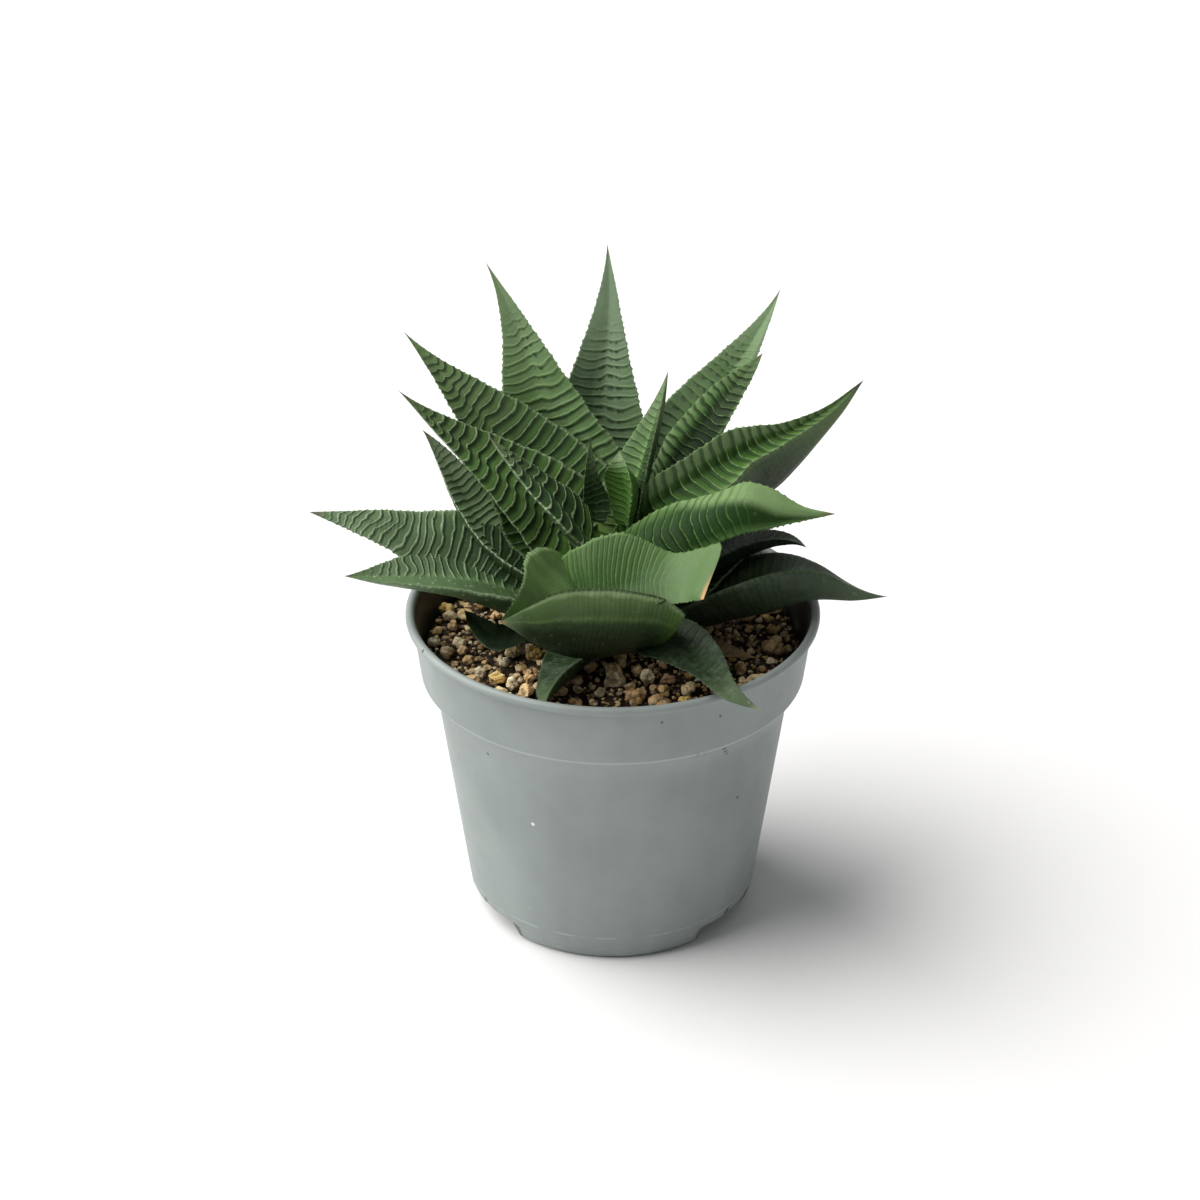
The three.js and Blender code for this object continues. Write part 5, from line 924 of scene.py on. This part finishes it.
def scatter(name, count, rmin, rmax, seed, material, density, sink, levels, squash=0.85):
    rng = np.random.default_rng(seed)
    V, F, R, Lw, Cv = [], [], [], [], []
    off = 0
    mine = []
    tries = 0
    while len(mine) < count and tries < count * 30:
        tries += 1
        rr = 40.6 * math.sqrt(rng.random())
        a = rng.random() * 2 * math.pi
        size = rmin * (rmax / rmin) ** (rng.random() ** 1.7)
        pick = rng.random()
        x, y = rr * math.cos(a), rr * math.sin(a)
        if rr + size > 41.1 or math.hypot(x + 2, y) < 5.5 or pick > density(x, y):
            continue
        if any((x - tx) ** 2 + (y - ty) ** 2 < (0.80 * (size + ts)) ** 2 for tx, ty, ts in taken):
            continue
        if any((x - tx) ** 2 + (y - ty) ** 2 < (0.66 * (size + ts)) ** 2 for tx, ty, ts in mine):
            continue
        mine.append((x, y, size))
        h = [size, size * (0.72 + 0.28 * rng.random()), size * (0.6 + 0.35 * rng.random()) * squash]
        p, f, cav = stone_shape(h, int(seed * 1000 + len(mine)), levels[0] if size < levels[1] else levels[2])
        Cv.append(cav)
        z = float(soil_z(rr)) - 0.6 + 0.5 * float(fbm(np.array([[x, y, 0.0]]), 7, 4, 0.55)[0]) + h[2] * (1 - 2 * sink) + 0.15
        p = p + np.array([x, y, z])
        V.append(p)
        F.append(f + off)
        off += len(p)
        R.append(np.full(len(p), rng.random()))
        Lw.append(np.clip((p[:, 2] - (z - h[2])) / (2 * h[2]), 0, 1))
    V, F = np.concatenate(V), np.concatenate(F)
    ob = new_object(name, V, [tuple(x) for x in F.tolist()], False, dict(rnd=np.concatenate(R), low=np.concatenate(Lw), cav=np.concatenate(Cv)))
    ob.data.materials.append(material)
    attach(ob, "root")
    return mine


def dens_left(x, y):
    # thick over the left and the front, thinner at the right where the soil shows
    a = math.degrees(math.atan2(y, x))
    base = 0.95 if (a < -60 or a > 100) else 0.42
    if -60 <= a < -20:
        base = 0.5
    return base


mine = scatter("grit.coarse", 270, 1.2, 3.1, 31, mat_grit, dens_left, 0.20, (2, 2.3, 3))
taken += mine
mine = scatter("grit.fine", 760, 0.5, 1.05, 32, mat_grit, lambda x, y: 0.9 if (math.degrees(math.atan2(y, x)) < -40 or math.degrees(math.atan2(y, x)) > 90) else 0.6, 0.25, (1, 0.8, 2))
DARK = [(0.0, lin(46, 35, 25)), (0.25, lin(92, 72, 48)), (0.45, lin(132, 106, 72)), (0.62, lin(70, 54, 36)), (0.8, lin(164, 136, 96)), (1.0, lin(112, 88, 60))]
mat_crumb = grit_material("mat_crumb", DARK, 0.3)
taken_keep = taken
taken = []
scatter("soil.crumbs", 900, 0.45, 1.35, 33, mat_crumb, lambda x, y: 1.0, 0.35, (1, 0.9, 2))
taken = taken_keep

# ------------------------------------------------------------------ stem: the CAD solid, with its own surface
def stem_material():
    n = Net("mat_stem")
    obj = n.coords()
    a = n.noise(obj, 300, 4.0)
    c = n.n.new("ShaderNodeSeparateXYZ")
    n.l.new(obj, c.inputs[0])
    z = c.outputs[2]
    col = n.mix(n.smooth(a, 0.35, 0.65), lin(70, 86, 44), lin(104, 112, 66))
    col = n.mix(n.smooth(z, 0.072, 0.066), col, lin(86, 66, 44))
    rings = n.smooth(n.math("ABSOLUTE", n.math("SUBTRACT", n.math("FRACT", n.math("MULTIPLY", n.math("ADD", z, n.math("MULTIPLY", a, 0.001)), 620.0)), 0.5)), 0.4, 0.5)
    col = n.mix(n.math("MULTIPLY", rings, 0.5), col, lin(52, 44, 30))
    n.l.new(col, n.b.inputs["Base Color"])
    n.b.inputs["Roughness"].default_value = 0.7
    n.bump(n.math("SUBTRACT", a, rings), 0.6, 0.0004)
    return n.mat


mat_stem = stem_material()
for ob in bpy.data.objects:
    if ob.type == "MESH" and ob.name == "stem":
        if not ob.data.materials:
            ob.data.materials.append(mat_stem)
        for sl in ob.material_slots:
            sl.material = mat_stem

# ------------------------------------------------------------------ floor and light
floor = new_object("floor", [(-3000, -3000, 0), (3000, -3000, 0), (3000, 3000, 0), (-3000, 3000, 0)], [(0, 1, 2, 3)], False)
fm = Net("mat_floor")
fn = fm.noise(fm.coords(), 3, 2.0)
fm.l.new(fm.mix(fm.smooth(fn, 0.3, 0.7), lin(226, 226, 227), lin(229, 229, 229)), fm.b.inputs["Base Color"])
fm.b.inputs["Roughness"].default_value = 0.9
fm.b.inputs["Specular IOR Level"].default_value = 0.1
floor.data.materials.append(fm.mat)

world = bpy.data.worlds.new("world")
bpy.context.scene.world = world
world.use_nodes = True
bg = world.node_tree.nodes.get("Background") or world.node_tree.nodes.new("ShaderNodeBackground")
bg.inputs[0].default_value = (0.98, 0.99, 1.0, 1)
wt = world.node_tree
wc = wt.nodes.new("ShaderNodeTexCoord")
ws = wt.nodes.new("ShaderNodeSeparateXYZ")
wt.links.new(wc.outputs["Generated"], ws.inputs[0])


def world_range(src, lo, hi, a=0.0, b=1.0):
    node = wt.nodes.new("ShaderNodeMapRange")
    node.interpolation_type = "SMOOTHSTEP"
    node.clamp = True
    wt.links.new(src, node.inputs["Value"])
    node.inputs["From Min"].default_value = lo
    node.inputs["From Max"].default_value = hi
    node.inputs["To Min"].default_value = a
    node.inputs["To Max"].default_value = b
    return node.outputs["Result"]


def world_math(op, a, b):
    node = wt.nodes.new("ShaderNodeMath")
    node.operation = op
    wt.links.new(a, node.inputs[0])
    if isinstance(b, (int, float)):
        node.inputs[1].default_value = b
    else:
        wt.links.new(b, node.inputs[1])
    return node.outputs[0]


# two pale studio cards, low behind the plant and low at its left; the rest of the room is dim
west = world_range(ws.outputs[0], -0.915, -0.96)
north = world_range(ws.outputs[1], 0.915, 0.96)
cards = world_math("MULTIPLY", world_math("MAXIMUM", west, north), world_range(ws.outputs[2], 0.30, 0.20))
wt.links.new(world_math("ADD", world_math("MULTIPLY", cards, 0.85), 0.27), bg.inputs[1])

sun = bpy.data.lights.new("key", "SUN")
sun.energy = 5.3
sun.angle = math.radians(72)
sun.color = (1.0, 0.985, 0.96)
so = bpy.data.objects.new("key", sun)
so.rotation_euler = Vector((-0.94, 0.14, 1.05)).to_track_quat("Z", "Y").to_euler()
bpy.context.scene.collection.objects.link(so)

bpy.context.scene.view_settings.view_transform = "Standard"
bpy.context.scene.view_settings.look = "None"
